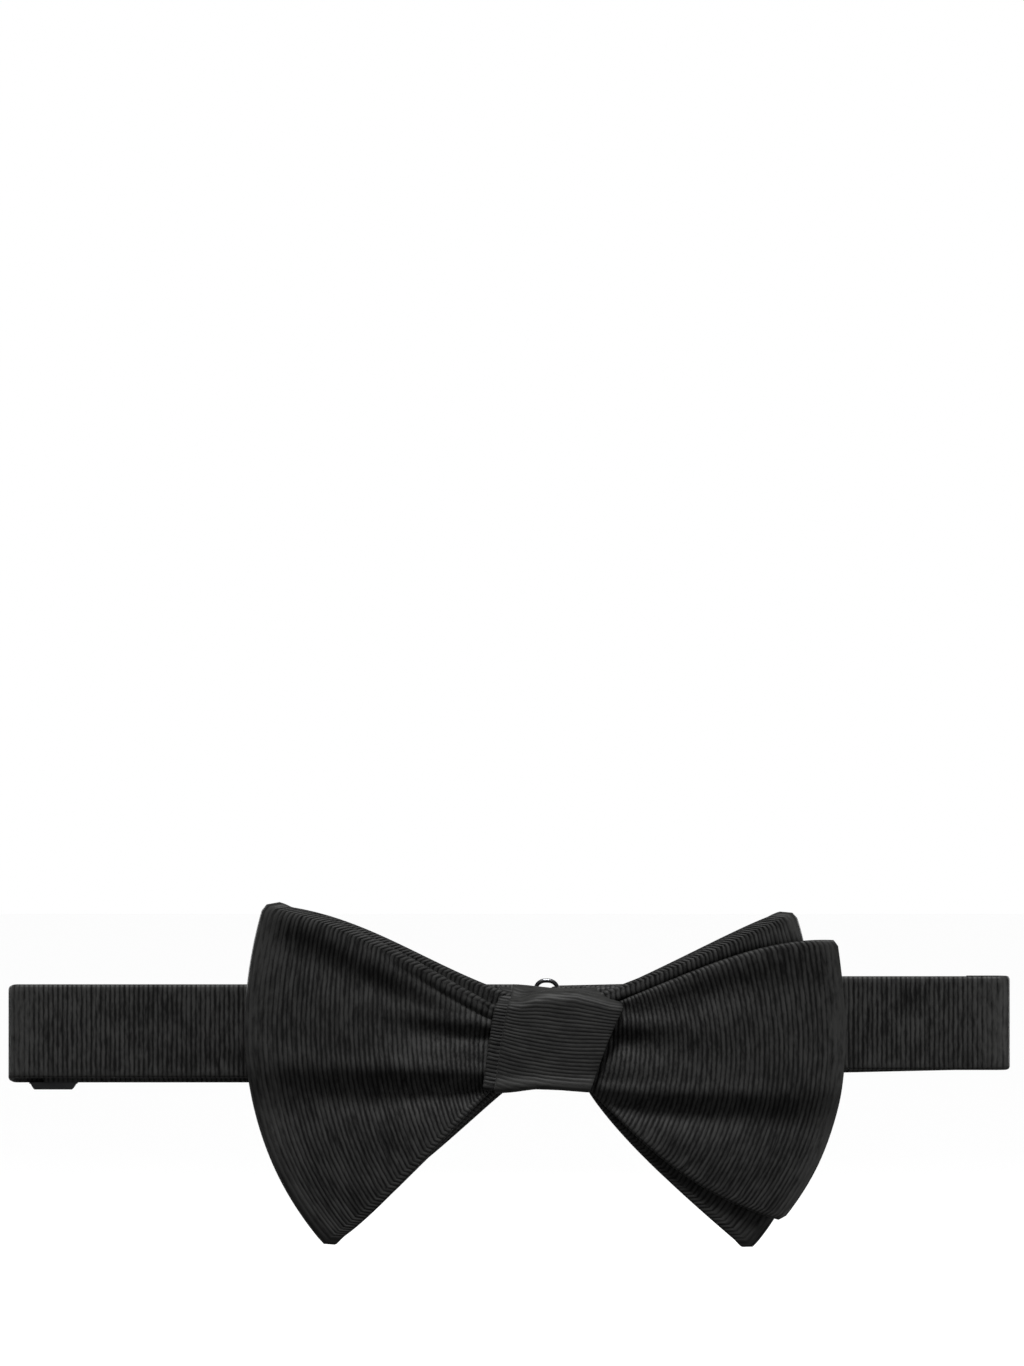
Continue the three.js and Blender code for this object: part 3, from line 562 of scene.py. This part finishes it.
def metal(name, dark, light, roughness):
    """Polished metal with faint cloudiness and fine scratches across it."""
    n = Nodes(name)
    place = n.add("TexCoord").outputs["Object"]
    cloud = n.noise(place, 260.0, 4.0, 0.6)
    brushed = n.add("Mapping", {"Vector": place, "Scale": (300.0, 300.0, 4200.0)}).outputs[0]
    scratch = n.noise(brushed, 1.0, 2.0)
    mixed = n.total(n.weighted(cloud, 0.6), n.weighted(scratch, 0.4))
    return n.finish({
        "Base Color": n.ramp(mixed, [(0.25, dark), (0.75, light)]),
        "Roughness": n.math("ADD", roughness - 0.08, n.weighted(mixed, 0.2)),
        "Normal": n.bump(scratch, 0.02 * MM, 0.3),
        "Metallic": 1.0})


def moulded(name, dark, light):
    """Satin plastic with a fine grain."""
    n = Nodes(name)
    place = n.add("TexCoord").outputs["Object"]
    grain = n.noise(place, 3200.0, 2.0, 0.6)
    cloud = n.noise(place, 220.0, 3.0)
    return n.finish({
        "Base Color": n.ramp(cloud, [(0.3, dark), (0.7, light)]),
        "Roughness": n.math("ADD", 0.28, n.weighted(cloud, 0.14)),
        "Normal": n.bump(grain, 0.02 * MM, 0.35),
        "Coat Weight": 0.15, "Coat Roughness": 0.2})


# each silk's valley colour is painted shade in the rib valleys, and its crest colour is painted
# highlight on the rib crests
SILK = grosgrain("silk_grosgrain", (0.002, 0.002, 0.002), (0.034, 0.034, 0.0333))
# the band's silk is the same silk as the bow's, painted lighter to stand in for how brightly the
# band is lit
SILK_BAND_LIT = grosgrain("silk_grosgrain_band_lit", (0.003, 0.003, 0.003), (0.047, 0.047, 0.046))
SILK_KNOT = grosgrain("silk_grosgrain_knot", (0.010, 0.010, 0.010), (0.032, 0.032, 0.031), 0.07)
CANVAS = plain_cloth("bow_canvas", (0.45, 0.42, 0.36), (0.68, 0.65, 0.58))
THREAD = plain_cloth("sewing_thread", (0.012, 0.012, 0.012), (0.05, 0.05, 0.05))
NICKEL = metal("dark_nickel", (0.09, 0.092, 0.098), (0.16, 0.163, 0.17), 0.28)
SATIN = moulded("slider_satin", (0.022, 0.0225, 0.024), (0.036, 0.037, 0.040))


def give_material(obj, material):
    obj.data.materials.clear()
    obj.data.materials.append(material)


def finish_piece(obj, material, body=None):
    """Gives a piece its finish. One that crosses a joint has no body here."""
    give_material(obj, material)
    if body:
        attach(obj, body)


# ---- the bow ----
BOW_RIB = 0.05  # how far a rib stands out from the cloth's middle height
BOW_ACROSS = dict(silk=60, canvas=52)  # millimetres of the weave from edge to edge
CANVAS_HALF, CANVAS_STEP, CANVAS_INSET = 0.12, 4, 2


def add_strip(name, panels, side, face_y, reach, layers, own_creases):
    middle, pressed_and_highlight = strip_middle(
        *(PANELS[p] for p in panels), side, face_y, reach, layers, own_creases)
    normal = normals_of(middle, (0, -face_y, 0))
    silk = add_shell(f"{name}_silk", middle, normal, STRIP_HALF, BOW_RIB, BOW_ACROSS["silk"],
                     pressed_and_highlight=pressed_and_highlight)
    finish_piece(silk, SILK, "bow")
    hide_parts(f"{name}_face_ply", f"{name}_back_ply")

    inside = (slice(None, None, CANVAS_STEP), slice(CANVAS_INSET, -CANVAS_INSET))
    canvas = add_shell(f"{name}_canvas", middle[inside], normal[inside], CANVAS_HALF, 0,
                       BOW_ACROSS["canvas"])
    finish_piece(canvas, CANVAS, "bow")
    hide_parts(f"{name}_interlining")


def make_bow():
    front, middle, rear = (LAYER_SHARE[k] for k in ("front", "middle", "rear"))
    add_strip("front_bow", ("left_loop_rear", "left_loop_front", "right_end"), -1, -1,
              LOOP_REACH["left"], (middle, front, front), FRONT_CREASES)
    add_strip("rear_bow", ("right_loop_front", "right_loop_rear", "left_end"), 1, 1,
              LOOP_REACH["right"], (middle, rear, rear), REAR_CREASES)


# ---- the knot ----
KNOT_TOP = dict(x=[-13, -9, -7, -4, -1.5, 4.5, 8, 11.5, 15.5],
                z=[7.6, 7.7, 8.0, 9.2, 9.7, 9.7, 8.8, 7.7, 7.1])
KNOT_BOTTOM = dict(x=[-13, -9.3, -4.2, 1, 7], z=[-11.9, -11.7, -11.0, -11.2, -11.7])
BAND_TOP = dict(x=[-22, -13, -6, -1, 5, 10, 16, 24, 30],
                z=[10.9, 10.45, 9.9, 9.35, 9.2, 9.55, 10.2, 11.0, 14])
OVER_BAND = 0.6  # how far the wrap stands above the band that it squeezes
KNOT_ROW = 0.2  # the wrap's silk has finer ribs
KNOT_COLUMNS, UNDER_COLUMNS = 41, 15
KNOT_HALF, KNOT_INSET, KNOT_CROWN = 0.33, 0.35, 0.35
KNOT_ACROSS, KNOT_FLAT_WIDTH = 21, 0.0225
KNOT_RIB = dict(rolled=0.01, flat=0.03)
RIBS_BOW = dict(knot=-2.8, under=-0.8, until=0.8)  # towards the wrap's left side its ribs sink
CORNER_STEPS = 24
FACE_DEPTH, FACE_BLEND = 3.5, 3.0  # the wrap's crown and lip fade out this far behind its front
BEHIND_OVER = 4.5  # behind its front corner, its top rises to the band over this depth
LIP = dict(radius=1.2, from_z=-7.9, height=2.7, out=0.6)  # the wrap's lower edge rolls outwards
ROLLS_HIGHLIGHT = dict(top=0.5, top_z=5.9, bottom=0.65, bottom_z=-7.9, over=1.6)  # painted highlight on the wrap's top and bottom rolls, whose ribs are also made lower
# The edge of the wrap's first turn, which stands out past its left side
UNDER = dict(out=2.7, width=8.0, inset=0.95, half=0.28, rib=0.04, flat_width=0.010)
LOOP_OVERLAP, LOOP_BLUR = 6, 3  # rows


def knot_loop(inset):
    """The knot's section as y and z, the way along it, and how many rows go round it."""
    k = KNOT
    corners = [
        (k["front"] + LIP["radius"], k["bottom"] + LIP["radius"], LIP["radius"], 1.0),
        (k["back"] - k["back_radius"], k["bottom"] + k["back_radius"], k["back_radius"], 1.5),
        (k["back"] - k["back_radius"], k["top"] - k["back_radius"], k["back_radius"], 0.0),
        (k["front"] + k["radius"], k["top"] - k["radius"], k["radius"], 0.5),
    ]
    points = []
    for y, z, radius, start in corners:
        r = radius - inset
        for t in np.linspace(0, 1, CORNER_STEPS):
            angle = math.pi * (start + t / 2)
            points.append((y + r * math.cos(angle), z + r * math.sin(angle)))
    points = np.array(points + points[:1])
    along = lengths_along(points)
    count = int(round(along[-1] / KNOT_ROW / ROWS_PER_RIB)) * ROWS_PER_RIB
    return points, along, count


def knot_point(y, z, t, left_out=0.0, width=None):
    """A point of the knot at y and z of its section, and t of the way across it. With a width,
    it is that far across from the left side."""
    k = KNOT
    up = np.clip((z - k["bottom"]) / (k["top"] - k["bottom"]), 0, 1)
    back = smooth((y - k["front"]) / (k["back"] - k["front"]) * 2)
    left = mix(mix(k["left_bottom"], k["left_top"], up), k["back_left"], back) - left_out
    right = mix(mix(k["right_bottom"], k["right_top"], up),
                mix(k["back_right_bottom"], k["back_right_top"], up), back)
    if width is not None:
        right = left + width
    x = mix(left, right, t)
    middle = (k["top"] + k["bottom"]) / 2
    behind = smooth((y - k["front"] - k["radius"]) / BEHIND_OVER)
    top = mix(np.interp(x, KNOT_TOP["x"], KNOT_TOP["z"]),
              np.interp(x, BAND_TOP["x"], BAND_TOP["z"]) + OVER_BAND, behind)
    low = np.interp(x, KNOT_BOTTOM["x"], KNOT_BOTTOM["z"])
    share = np.where(z > middle, (top - middle) / (k["top"] - middle),
                     (middle - low) / (middle - k["bottom"]))
    return x, y, middle + (z - middle) * share


def knot_surface(columns, inset, crown, ribs_bow, left_out=0.0, width=None):
    """The middle surface of the wrap, a row each KNOT_ROW round it."""
    points, along, count = knot_loop(inset)
    t = np.linspace(0, 1, columns)
    at = np.arange(count) / count * along[-1]
    tilt = ribs_bow * np.clip(1 - t / RIBS_BOW["until"], 0, 1) ** 2
    place = (at[:, None] + tilt[None]) % along[-1]
    y, z = (np.interp(place, along, points[:, k]) for k in (0, 1))
    x, y, z = knot_point(y, z, np.broadcast_to(t[None], y.shape), left_out, width)
    front = smooth((KNOT["front"] + FACE_DEPTH - y) / FACE_BLEND)
    lip = LIP["out"] * smooth((LIP["from_z"] - z) / LIP["height"])
    y = y - front * (crown * (1 - (2 * t[None] - 1) ** 4) + lip)
    return np.stack([x, y, z], -1)


def loop_normals(surface):
    """Normals of a surface whose rows close into a loop, out of the loop."""
    wrapped = np.concatenate([surface[-LOOP_OVERLAP:], surface, surface[:LOOP_OVERLAP]])
    normal = unit(blurred(raw_normals(wrapped), LOOP_BLUR))[LOOP_OVERLAP:-LOOP_OVERLAP]
    return -normal if ((surface[0] - surface.mean((0, 1))) * normal[0]).sum() < 0 else normal


def make_knot():
    middle = knot_surface(KNOT_COLUMNS, KNOT_INSET, KNOT_CROWN, RIBS_BOW["knot"])
    z = middle[..., 2]
    # painted highlight on the wrap's top and bottom rolls, where they turn over towards the light;
    # the same mask lowers the ribs there
    rolls_highlight = np.maximum(ROLLS_HIGHLIGHT["top"] * smooth((z - ROLLS_HIGHLIGHT["top_z"]) / ROLLS_HIGHLIGHT["over"]),
                          ROLLS_HIGHLIGHT["bottom"] * smooth((ROLLS_HIGHLIGHT["bottom_z"] - z) / ROLLS_HIGHLIGHT["over"]))
    rib = KNOT_RIB["rolled"] + KNOT_RIB["flat"] * (1 - rolls_highlight[:, KNOT_COLUMNS // 2])
    knot = add_shell("knot_wrap_silk", middle, loop_normals(middle), KNOT_HALF, rib, KNOT_ACROSS,
                     True, rolls_highlight)
    finish_piece(knot, SILK_KNOT, "bow")
    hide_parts("knot_wrap")

    under = knot_surface(UNDER_COLUMNS, UNDER["inset"], 0.0, RIBS_BOW["under"], UNDER["out"],
                         UNDER["width"])
    turn = add_shell("knot_first_turn_silk", under, loop_normals(under), UNDER["half"],
                     UNDER["rib"], UNDER["width"], True)
    finish_piece(turn, SILK, "bow")


# ---- the neckband ----
BAND_COLUMNS = 21
BAND_RIB, STRAP_RIB = 0.045, 0.035
STUB = 6.0  # how far the folded pieces run on past a fold
# Where the band's cloth is lighter and smoother: from x, over a length, and how much
BAND_LIGHTER = dict(left=(-107, 6, 0.5), right=(84, 10, 0.6), edge=0.3)
SQUEEZE_Y = 0.4  # in front of this, the band is the front run, which the knot squeezes


def front_z(x):
    rise = smooth((x - BAND["rise"][0]) / (BAND["rise"][1] - BAND["rise"][0]))
    return mix(BAND["left_z"], BAND["right_z"], rise)


def right_arm_z(x):
    share = np.clip((x - RING["x"]) / (RIGHT_FOLD_X - RING["x"]), 0, 1)
    return mix(BAND["right_arm_end_z"], BAND["right_z"], share)


def level(z):
    """The height of a run that doesn't rise, for each point of its path."""
    return lambda path: np.full(len(path), z)


def arc(x, y, radius, start, end, count=40):
    """Points round x and y, from start to end in half turns."""
    a = np.linspace(start * math.pi, end * math.pi, count)
    return np.stack([x + radius * np.cos(a), y + radius * np.sin(a)], -1)


def straight(start, end, y, count=60):
    return np.stack([np.linspace(start, end, count), np.full(count, y)], -1)


def band_middle(path, height, width, squeeze):
    """The middle surface of a band along a path of x and y, its rows evenly spaced."""
    path = np.asarray(path, float)
    along = lengths_along(path)
    count = int(round(along[-1] / ROW / ROWS_PER_RIB)) * ROWS_PER_RIB
    at = np.linspace(0, along[-1], count + 1)
    x, y = np.interp(at, along, path[:, 0]), np.interp(at, along, path[:, 1])
    z = np.interp(at, along, height(path))
    low, high = z - width / 2, z + width / 2
    if squeeze:
        front = smooth((SQUEEZE_Y - y) / SQUEEZE_Y)
        squeezed = np.minimum(high, np.interp(x, BAND_TOP["x"], BAND_TOP["z"]))
        high = mix(high, squeezed, front)
    up = np.linspace(-0.5, 0.5, BAND_COLUMNS)
    grid_z = mix(low[:, None], high[:, None], up[None] + 0.5)
    return np.stack([np.broadcast_to(x[:, None], grid_z.shape),
                     np.broadcast_to(y[:, None], grid_z.shape), grid_z], -1)


def band_lighter_cloth(middle, width):
    """How much lighter and smoother the band's cloth is: most at its folds, and a little along its
    edges.
    """
    x = middle[..., 0]
    left, left_over, left_much = BAND_LIGHTER["left"]
    right, right_over, right_much = BAND_LIGHTER["right"]
    at_folds = np.maximum(left_much * smooth((left - x) / left_over),
                          right_much * smooth((x - right) / right_over))
    column = np.arange(BAND_COLUMNS)
    from_edge = np.minimum(column, column[::-1]) * width / (BAND_COLUMNS - 1)
    return np.maximum(at_folds, BAND_LIGHTER["edge"] * np.clip(1 - from_edge / EDGE_LIGHTER_REACH, 0, 1)[None])


def add_band(name, path, height, size, first_face, body, replaced, squeeze=False, rib=BAND_RIB):
    width, thick = size["width"], size["thick"]
    inner = width - thick
    middle = band_middle(path, height, inner, squeeze)
    shell = add_shell(name, middle, normals_of(middle, first_face), thick / 2 - rib, rib, width,
                      pressed_and_highlight=band_lighter_cloth(middle, inner))
    finish_piece(shell, SILK_BAND_LIT, body)
    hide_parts(*replaced)
    return shell


def make_band():
    run, arm = FRONT_RUN_Y, BAND["arm_y"]
    left, right = LEFT_FOLD_X, RIGHT_FOLD_X
    left_stub, right_stub = left + STUB, right - STUB
    front, back = (0, -1, 0), (0, 1, 0)

    # the front run with the left fold, and the start of the left strap behind it
    path = np.concatenate([straight(right_stub, left, run, 300)[:-1],
                           arc(left, FOLD_Y, FOLD_RADIUS, 1.5, 0.5), [[left_stub, arm]]])

    def height(p):
        straight_z = mix(front_z(p[:, 0]), BAND["left_arm_z"], (p[:, 1] > FOLD_Y) * 1.0)
        fold_z = mix(BAND["left_z"], BAND["left_arm_z"], smooth((p[:, 1] - run) / (arm - run)))
        return np.where(p[:, 0] > left, straight_z, fold_z)

    piece = add_band("band_front_silk", path, height, BAND, front, None,
                     ("band_front_shell", "band_left_fold"), squeeze=True)
    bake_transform(piece)

    path = np.concatenate([[[right_stub, run]], arc(right, FOLD_Y, FOLD_RADIUS, -0.5, 0.5),
                           [[right_stub, arm]]])
    piece = add_band("band_right_fold_silk", path, level(BAND["right_z"]), BAND, front, None,
                     ("band_right_fold",))
    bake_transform(piece)

    piece = add_band("left_strap_silk", straight(left_stub, HOOK_X - SEAT_GAP / 2, arm),
                     level(BAND["left_arm_z"]), BAND, back, None, ("left_strap_shell",))
    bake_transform(piece)

    add_band("right_strap_silk", straight(RING["x"] + SEAT_GAP / 2, right_stub, arm),
             lambda p: right_arm_z(p[:, 0]), BAND, back, "right_arm", ("right_strap_shell",))

    # from the slider's bar, where the strap's end is sewn, to the hook's bar and round it
    radius = (TAIL_Y - RETURN_Y) / 2
    turn_x = SLIDER["x"] - SLIDER["bar"] / 2 + SEAT_GAP
    path = np.concatenate([
        [[SLIDER["x"] + TAIL_REACH, TAIL_Y]], arc(turn_x, RETURN_Y + radius, radius, 0.5, 1.5),
        straight(turn_x, HOOK_X, RETURN_Y)[1:-1], arc(HOOK_X, HOOK_Y, arm - HOOK_Y, -0.5, 0.5)])
    piece = add_band("strap_return_silk", path, level(BAND["left_arm_z"]), STRAP, back, None,
                     ("strap_return",), rib=STRAP_RIB)
    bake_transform(piece)

    radius = (arm - TAB_LEG_Y) / 2
    path = np.concatenate([arc(RING["x"], arm - radius, radius, 0.5, 1.5),
                           [[RING["x"] + RING["tab_length"], TAB_LEG_Y]]])
    add_band("ring_tab_silk", path, lambda p: right_arm_z(p[:, 0]), STRAP, back, "right_arm",
             ("ring_tab",), rib=STRAP_RIB)


# ---- the fittings ----
WELD, FLAT_ANGLE, BEVEL_ANGLE, SHOWN_SHARP = 1e-6, 0.02, 0.6, 0.7
BEVELS = dict(slider_frame=0.22, hook=0.16)
# The slider's lower rail is deeper than its upper one, its lower corners are rounder, and it
# narrows towards the top.
RAIL_FROM, RAIL_TO = dict(lower=1.15, upper=1.15, drop=0.0), dict(lower=1.65, upper=1.15, drop=0.6)
ROUNDED = dict(start=0.72, lift=0.9, reach=1.4, over=1.0)
TAPER = 0.1
WIRE_SIDES, CORNER_POINTS = 20, 13


def bevelled(node, name, width):
    """A copy of a CAD node's mesh with its edges rounded off."""
    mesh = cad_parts[node].data.copy()
    obj = bpy.data.objects.new(name, mesh)
    bpy.context.scene.collection.objects.link(obj)
    bm = bmesh.new()
    bm.from_mesh(mesh)
    bmesh.ops.remove_doubles(bm, verts=bm.verts, dist=WELD)
    bmesh.ops.dissolve_limit(bm, angle_limit=FLAT_ANGLE, verts=bm.verts, edges=bm.edges)
    sharp = [e for e in bm.edges if len(e.link_faces) == 2 and e.calc_face_angle() > BEVEL_ANGLE]
    bmesh.ops.bevel(bm, geom=sharp, offset=width * MM, segments=3, profile=0.5, affect="EDGES",
                    clamp_overlap=True)
    for face in bm.faces:
        face.smooth = True
    bm.to_mesh(mesh)
    bm.free()
    mesh.set_sharp_from_angle(angle=SHOWN_SHARP)
    return obj


def round_off(mesh, low, high):
    middle, reach = (low[0] + high[0]) / 2, (high[0] - low[0]) / 2
    before, after = ([low[2], low[2] + r["lower"] * MM, high[2] - r["upper"] * MM,
                      high[2] - r["drop"] * MM] for r in (RAIL_FROM, RAIL_TO))
    for vertex in mesh.vertices:
        z = np.interp(vertex.co.z, before, after)
        from_middle = abs(vertex.co.x - middle) / reach
        corner = smooth((from_middle - ROUNDED["start"]) / (1 - ROUNDED["start"]))
        below = smooth((low[2] + ROUNDED["reach"] * MM - z) / (ROUNDED["over"] * MM))
        vertex.co.z = z + ROUNDED["lift"] * MM * corner * below
        taper = smooth((z - low[2]) / (high[2] - low[2]))
        vertex.co.x = middle + (vertex.co.x - middle) * (1 - TAPER * taper)
    mesh.update()


def make_ring():
    """The wire ring: a rounded rectangle of round wire, behind the strap's end."""
    radius, half = RING["wire"] / 2, RING["half_height"]
    corner, wide = RING["corner"], RING["spacing"] / 2
    outline = []
    for cx, cz, start in ((wide - corner, half - corner, 0), (-wide + corner, half - corner, 0.5),
                          (-wide + corner, -half + corner, 1), (wide - corner, -half + corner, 1.5)):
        for t in np.linspace(0, 0.5, CORNER_POINTS):
            a = math.pi * (start + t)
            outline.append((cx + corner * math.cos(a), cz + corner * math.sin(a)))
    outline = np.array(outline)
    ahead = np.roll(outline, -1, 0) - np.roll(outline, 1, 0)
    out = unit(np.stack([ahead[:, 1], -ahead[:, 0]], -1))
    a = np.linspace(0, 2 * math.pi, WIRE_SIDES, endpoint=False)
    rings = np.array([
        np.stack([RING["x"] - wide + x + nx * radius * np.cos(a),
                  (BAND["arm_y"] + TAB_LEG_Y) / 2 + radius * np.sin(a),
                  BAND["right_arm_end_z"] + z + nz * radius * np.cos(a)], -1)
        for (x, z), (nx, nz) in zip(outline, out)])
    ring = tube("eye_ring_wire", rings, np.zeros_like(rings), True)
    finish_piece(ring, NICKEL, "ring")
    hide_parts("eye_ring")


def make_fittings():
    for node, material, slot, body in (("slider_frame", SATIN, "slider", "slider"),
                                       ("hook", NICKEL, "nickel", "hook")):
        obj = bevelled(node, f"{node}_finished", BEVELS[node])
        if node == "slider_frame":
            round_off(obj.data, *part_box(node))
        finish_piece(obj, material, body)
        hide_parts(node)
    make_ring()


# ---- the stitches ----
THREAD_SIDES = 8
THREAD_TIP, THREAD_FULLNESS, THINNEST = 0.08, 3, 0.1
BACK_STITCHES = dict(count=9, half_length=1.1, arch=0.28, slant=0.35, radius=0.16)
SEAM_STITCHES = dict(count=11, sway=0.12, radius=0.2)
STITCH_POINTS, STITCH_MARGIN = 9, 0.5


def add_threads(node, body, runs, radius):
    """Short lengths of thread, each a run of points with tapered ends, as one piece."""
    points, faces = [], []
    count = THREAD_SIDES
    around = np.linspace(0, 2 * math.pi, count, endpoint=False)
    for run in runs:
        run = np.asarray(run, float)
        ahead = unit(np.gradient(run, axis=0))
        side = unit(np.cross(ahead, [0.0, 0.0, 1.0]) + 1e-6)
        up = np.cross(side, ahead)
        bulge = np.sin(np.linspace(THREAD_TIP, math.pi - THREAD_TIP, len(run))) * THREAD_FULLNESS
        thick = radius * np.sqrt(np.clip(bulge, THINNEST, 1))
        start = len(points)
        last = start + (len(run) - 1) * count
        for k, place in enumerate(run):
            for a in around:
                points.append(place + thick[k] * (side[k] * math.cos(a) + up[k] * math.sin(a)))
        for row in range(start, last, count):
            for j in range(count):
                a, b = row + j, row + (j + 1) % count
                faces.append((a, b, b + count, a + count))
        faces.append(tuple(range(start, start + count))[::-1])
        faces.append(tuple(range(last, last + count)))
    obj = add_mesh(f"{node}_threads", points, faces, np.zeros((len(points), 3)))
    bm = bmesh.new()
    bm.from_mesh(obj.data)
    bmesh.ops.recalc_face_normals(bm, faces=bm.faces)
    bm.to_mesh(obj.data)
    bm.free()
    finish_piece(obj, THREAD, body)
    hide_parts(node)


def tack_box(node):
    return (np.array(corner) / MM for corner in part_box(node))


def make_stitches():
    along = np.linspace(-1, 1, STITCH_POINTS)

    # stitches across the lapped ends of the knot's wrap, arched over the cloth
    low, high = tack_box("knot_back_tack")
    x, y, b = (low[0] + high[0]) / 2, low[1], BACK_STITCHES
    heights = np.linspace(low[2] + STITCH_MARGIN, high[2] - STITCH_MARGIN, b["count"])
    runs = [[(x + b["half_length"] * t, y + b["arch"] * (1 - t * t), z + b["slant"] * t)
             for t in along] for z in heights]
    add_threads("knot_back_tack", "bow", runs, b["radius"])

    # stitches right through the strap's layers
    for node, body in (("strap_end_tack", "slider"), ("ring_tab_tack", "right_arm")):
        low, high = tack_box(node)
        x, s = (low[0] + high[0]) / 2, SEAM_STITCHES
        heights = np.linspace(low[2] + STITCH_MARGIN, high[2] - STITCH_MARGIN, s["count"])
        runs = [[(x + s["sway"] * math.sin(3 * t + k), mix(low[1], high[1], (t + 1) / 2), z)
                 for t in along] for k, z in enumerate(heights)]
        add_threads(node, body, runs, s["radius"])


CARRIED_NODES = {
    "knot_padding": CANVAS, "band_front_interlining": CANVAS, "left_strap_interlining": CANVAS,
    "right_strap_interlining": CANVAS, "waist_thread": THREAD}


# ---- stage, light and camera ----
AMBIENT = 0.09  # how much the white surroundings light the tie
FLOOR_GREY, FLOOR_BOUNCE = 0.9, 0.10  # the floor as it is seen, and what it gives back to the tie
FLOOR_Z, FLOOR_SIZE = -0.12, 12
SENSOR, CAMERA_DISTANCE, FRAME_WIDTH = 36, 2000, 215.04
CAMERA_X, CAMERA_Z = -9.03, 73.9


def add_light(name, kind, place, power, **settings):
    data = bpy.data.lights.new(name, kind)
    data.energy = power
    for key, value in settings.items():
        setattr(data, key, value)
    obj = bpy.data.objects.new(name, data)
    bpy.context.scene.collection.objects.link(obj)
    obj.location = place
    obj.rotation_euler = (-Vector(place)).to_track_quat("-Z", "Y").to_euler()


def make_surroundings():
    world = bpy.data.worlds.new("studio")
    world.use_nodes = True
    tree = world.node_tree
    seen = tree.nodes.new("ShaderNodeLightPath").outputs["Is Camera Ray"]
    strength = tree.nodes.new("ShaderNodeMapRange")
    strength.inputs["To Min"].default_value, strength.inputs["To Max"].default_value = AMBIENT, 1.0
    tree.links.new(seen, strength.inputs["Value"])
    tree.links.new(strength.outputs["Result"], tree.nodes["Background"].inputs["Strength"])
    tree.nodes["Background"].inputs["Color"].default_value = (1, 1, 1, 1)
    bpy.context.scene.world = world


def make_floor():
    bpy.ops.mesh.primitive_plane_add(size=FLOOR_SIZE, location=(0, 0, FLOOR_Z))
    floor = bpy.context.object
    floor.name = "floor"
    n = Nodes("pale_floor")
    seen = n.add("LightPath").outputs["Is Camera Ray"]
    grey = n.ramp(seen, [(0.0, FLOOR_BOUNCE), (1.0, FLOOR_GREY)])
    floor.data.materials.append(n.finish({"Base Color": grey, "Roughness": 0.9}))


def make_lights():
    add_light("key", "SUN", (0.0, -0.40, 0.92), 3.65, angle=math.radians(14))
    add_light("side_left", "AREA", (-1.25, -0.5, 0.12), 1.5, size=0.5)
    add_light("side_right", "AREA", (1.25, -0.5, 0.12), 3.9, size=0.5)
    add_light("fill", "AREA", (0.25, -1.2, -0.35), 1.5, size=0.6)
    for side in (-1, 1):
        add_light(f"back_{side}", "AREA", (side * 0.8, 1.2, 0.25), 5.0, size=0.6)


def make_camera():
    camera = bpy.data.cameras.new("camera")
    camera.sensor_fit, camera.sensor_width = "HORIZONTAL", SENSOR
    camera.lens = SENSOR * CAMERA_DISTANCE / FRAME_WIDTH
    camera.clip_start, camera.clip_end = 0.1, 20
    obj = bpy.data.objects.new("camera", camera)
    bpy.context.scene.collection.objects.link(obj)
    obj.location = (CAMERA_X * MM, -CAMERA_DISTANCE * MM, CAMERA_Z * MM)
    obj.rotation_euler = (math.pi / 2, 0, 0)
    bpy.context.scene.camera = obj


make_bow()
make_knot()
make_band()
make_fittings()
make_stitches()
for node, material in CARRIED_NODES.items():
    give_material(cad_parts[node], material)

bpy.context.scene.view_settings.view_transform = "Standard"
make_surroundings()
make_floor()
make_lights()
make_camera()
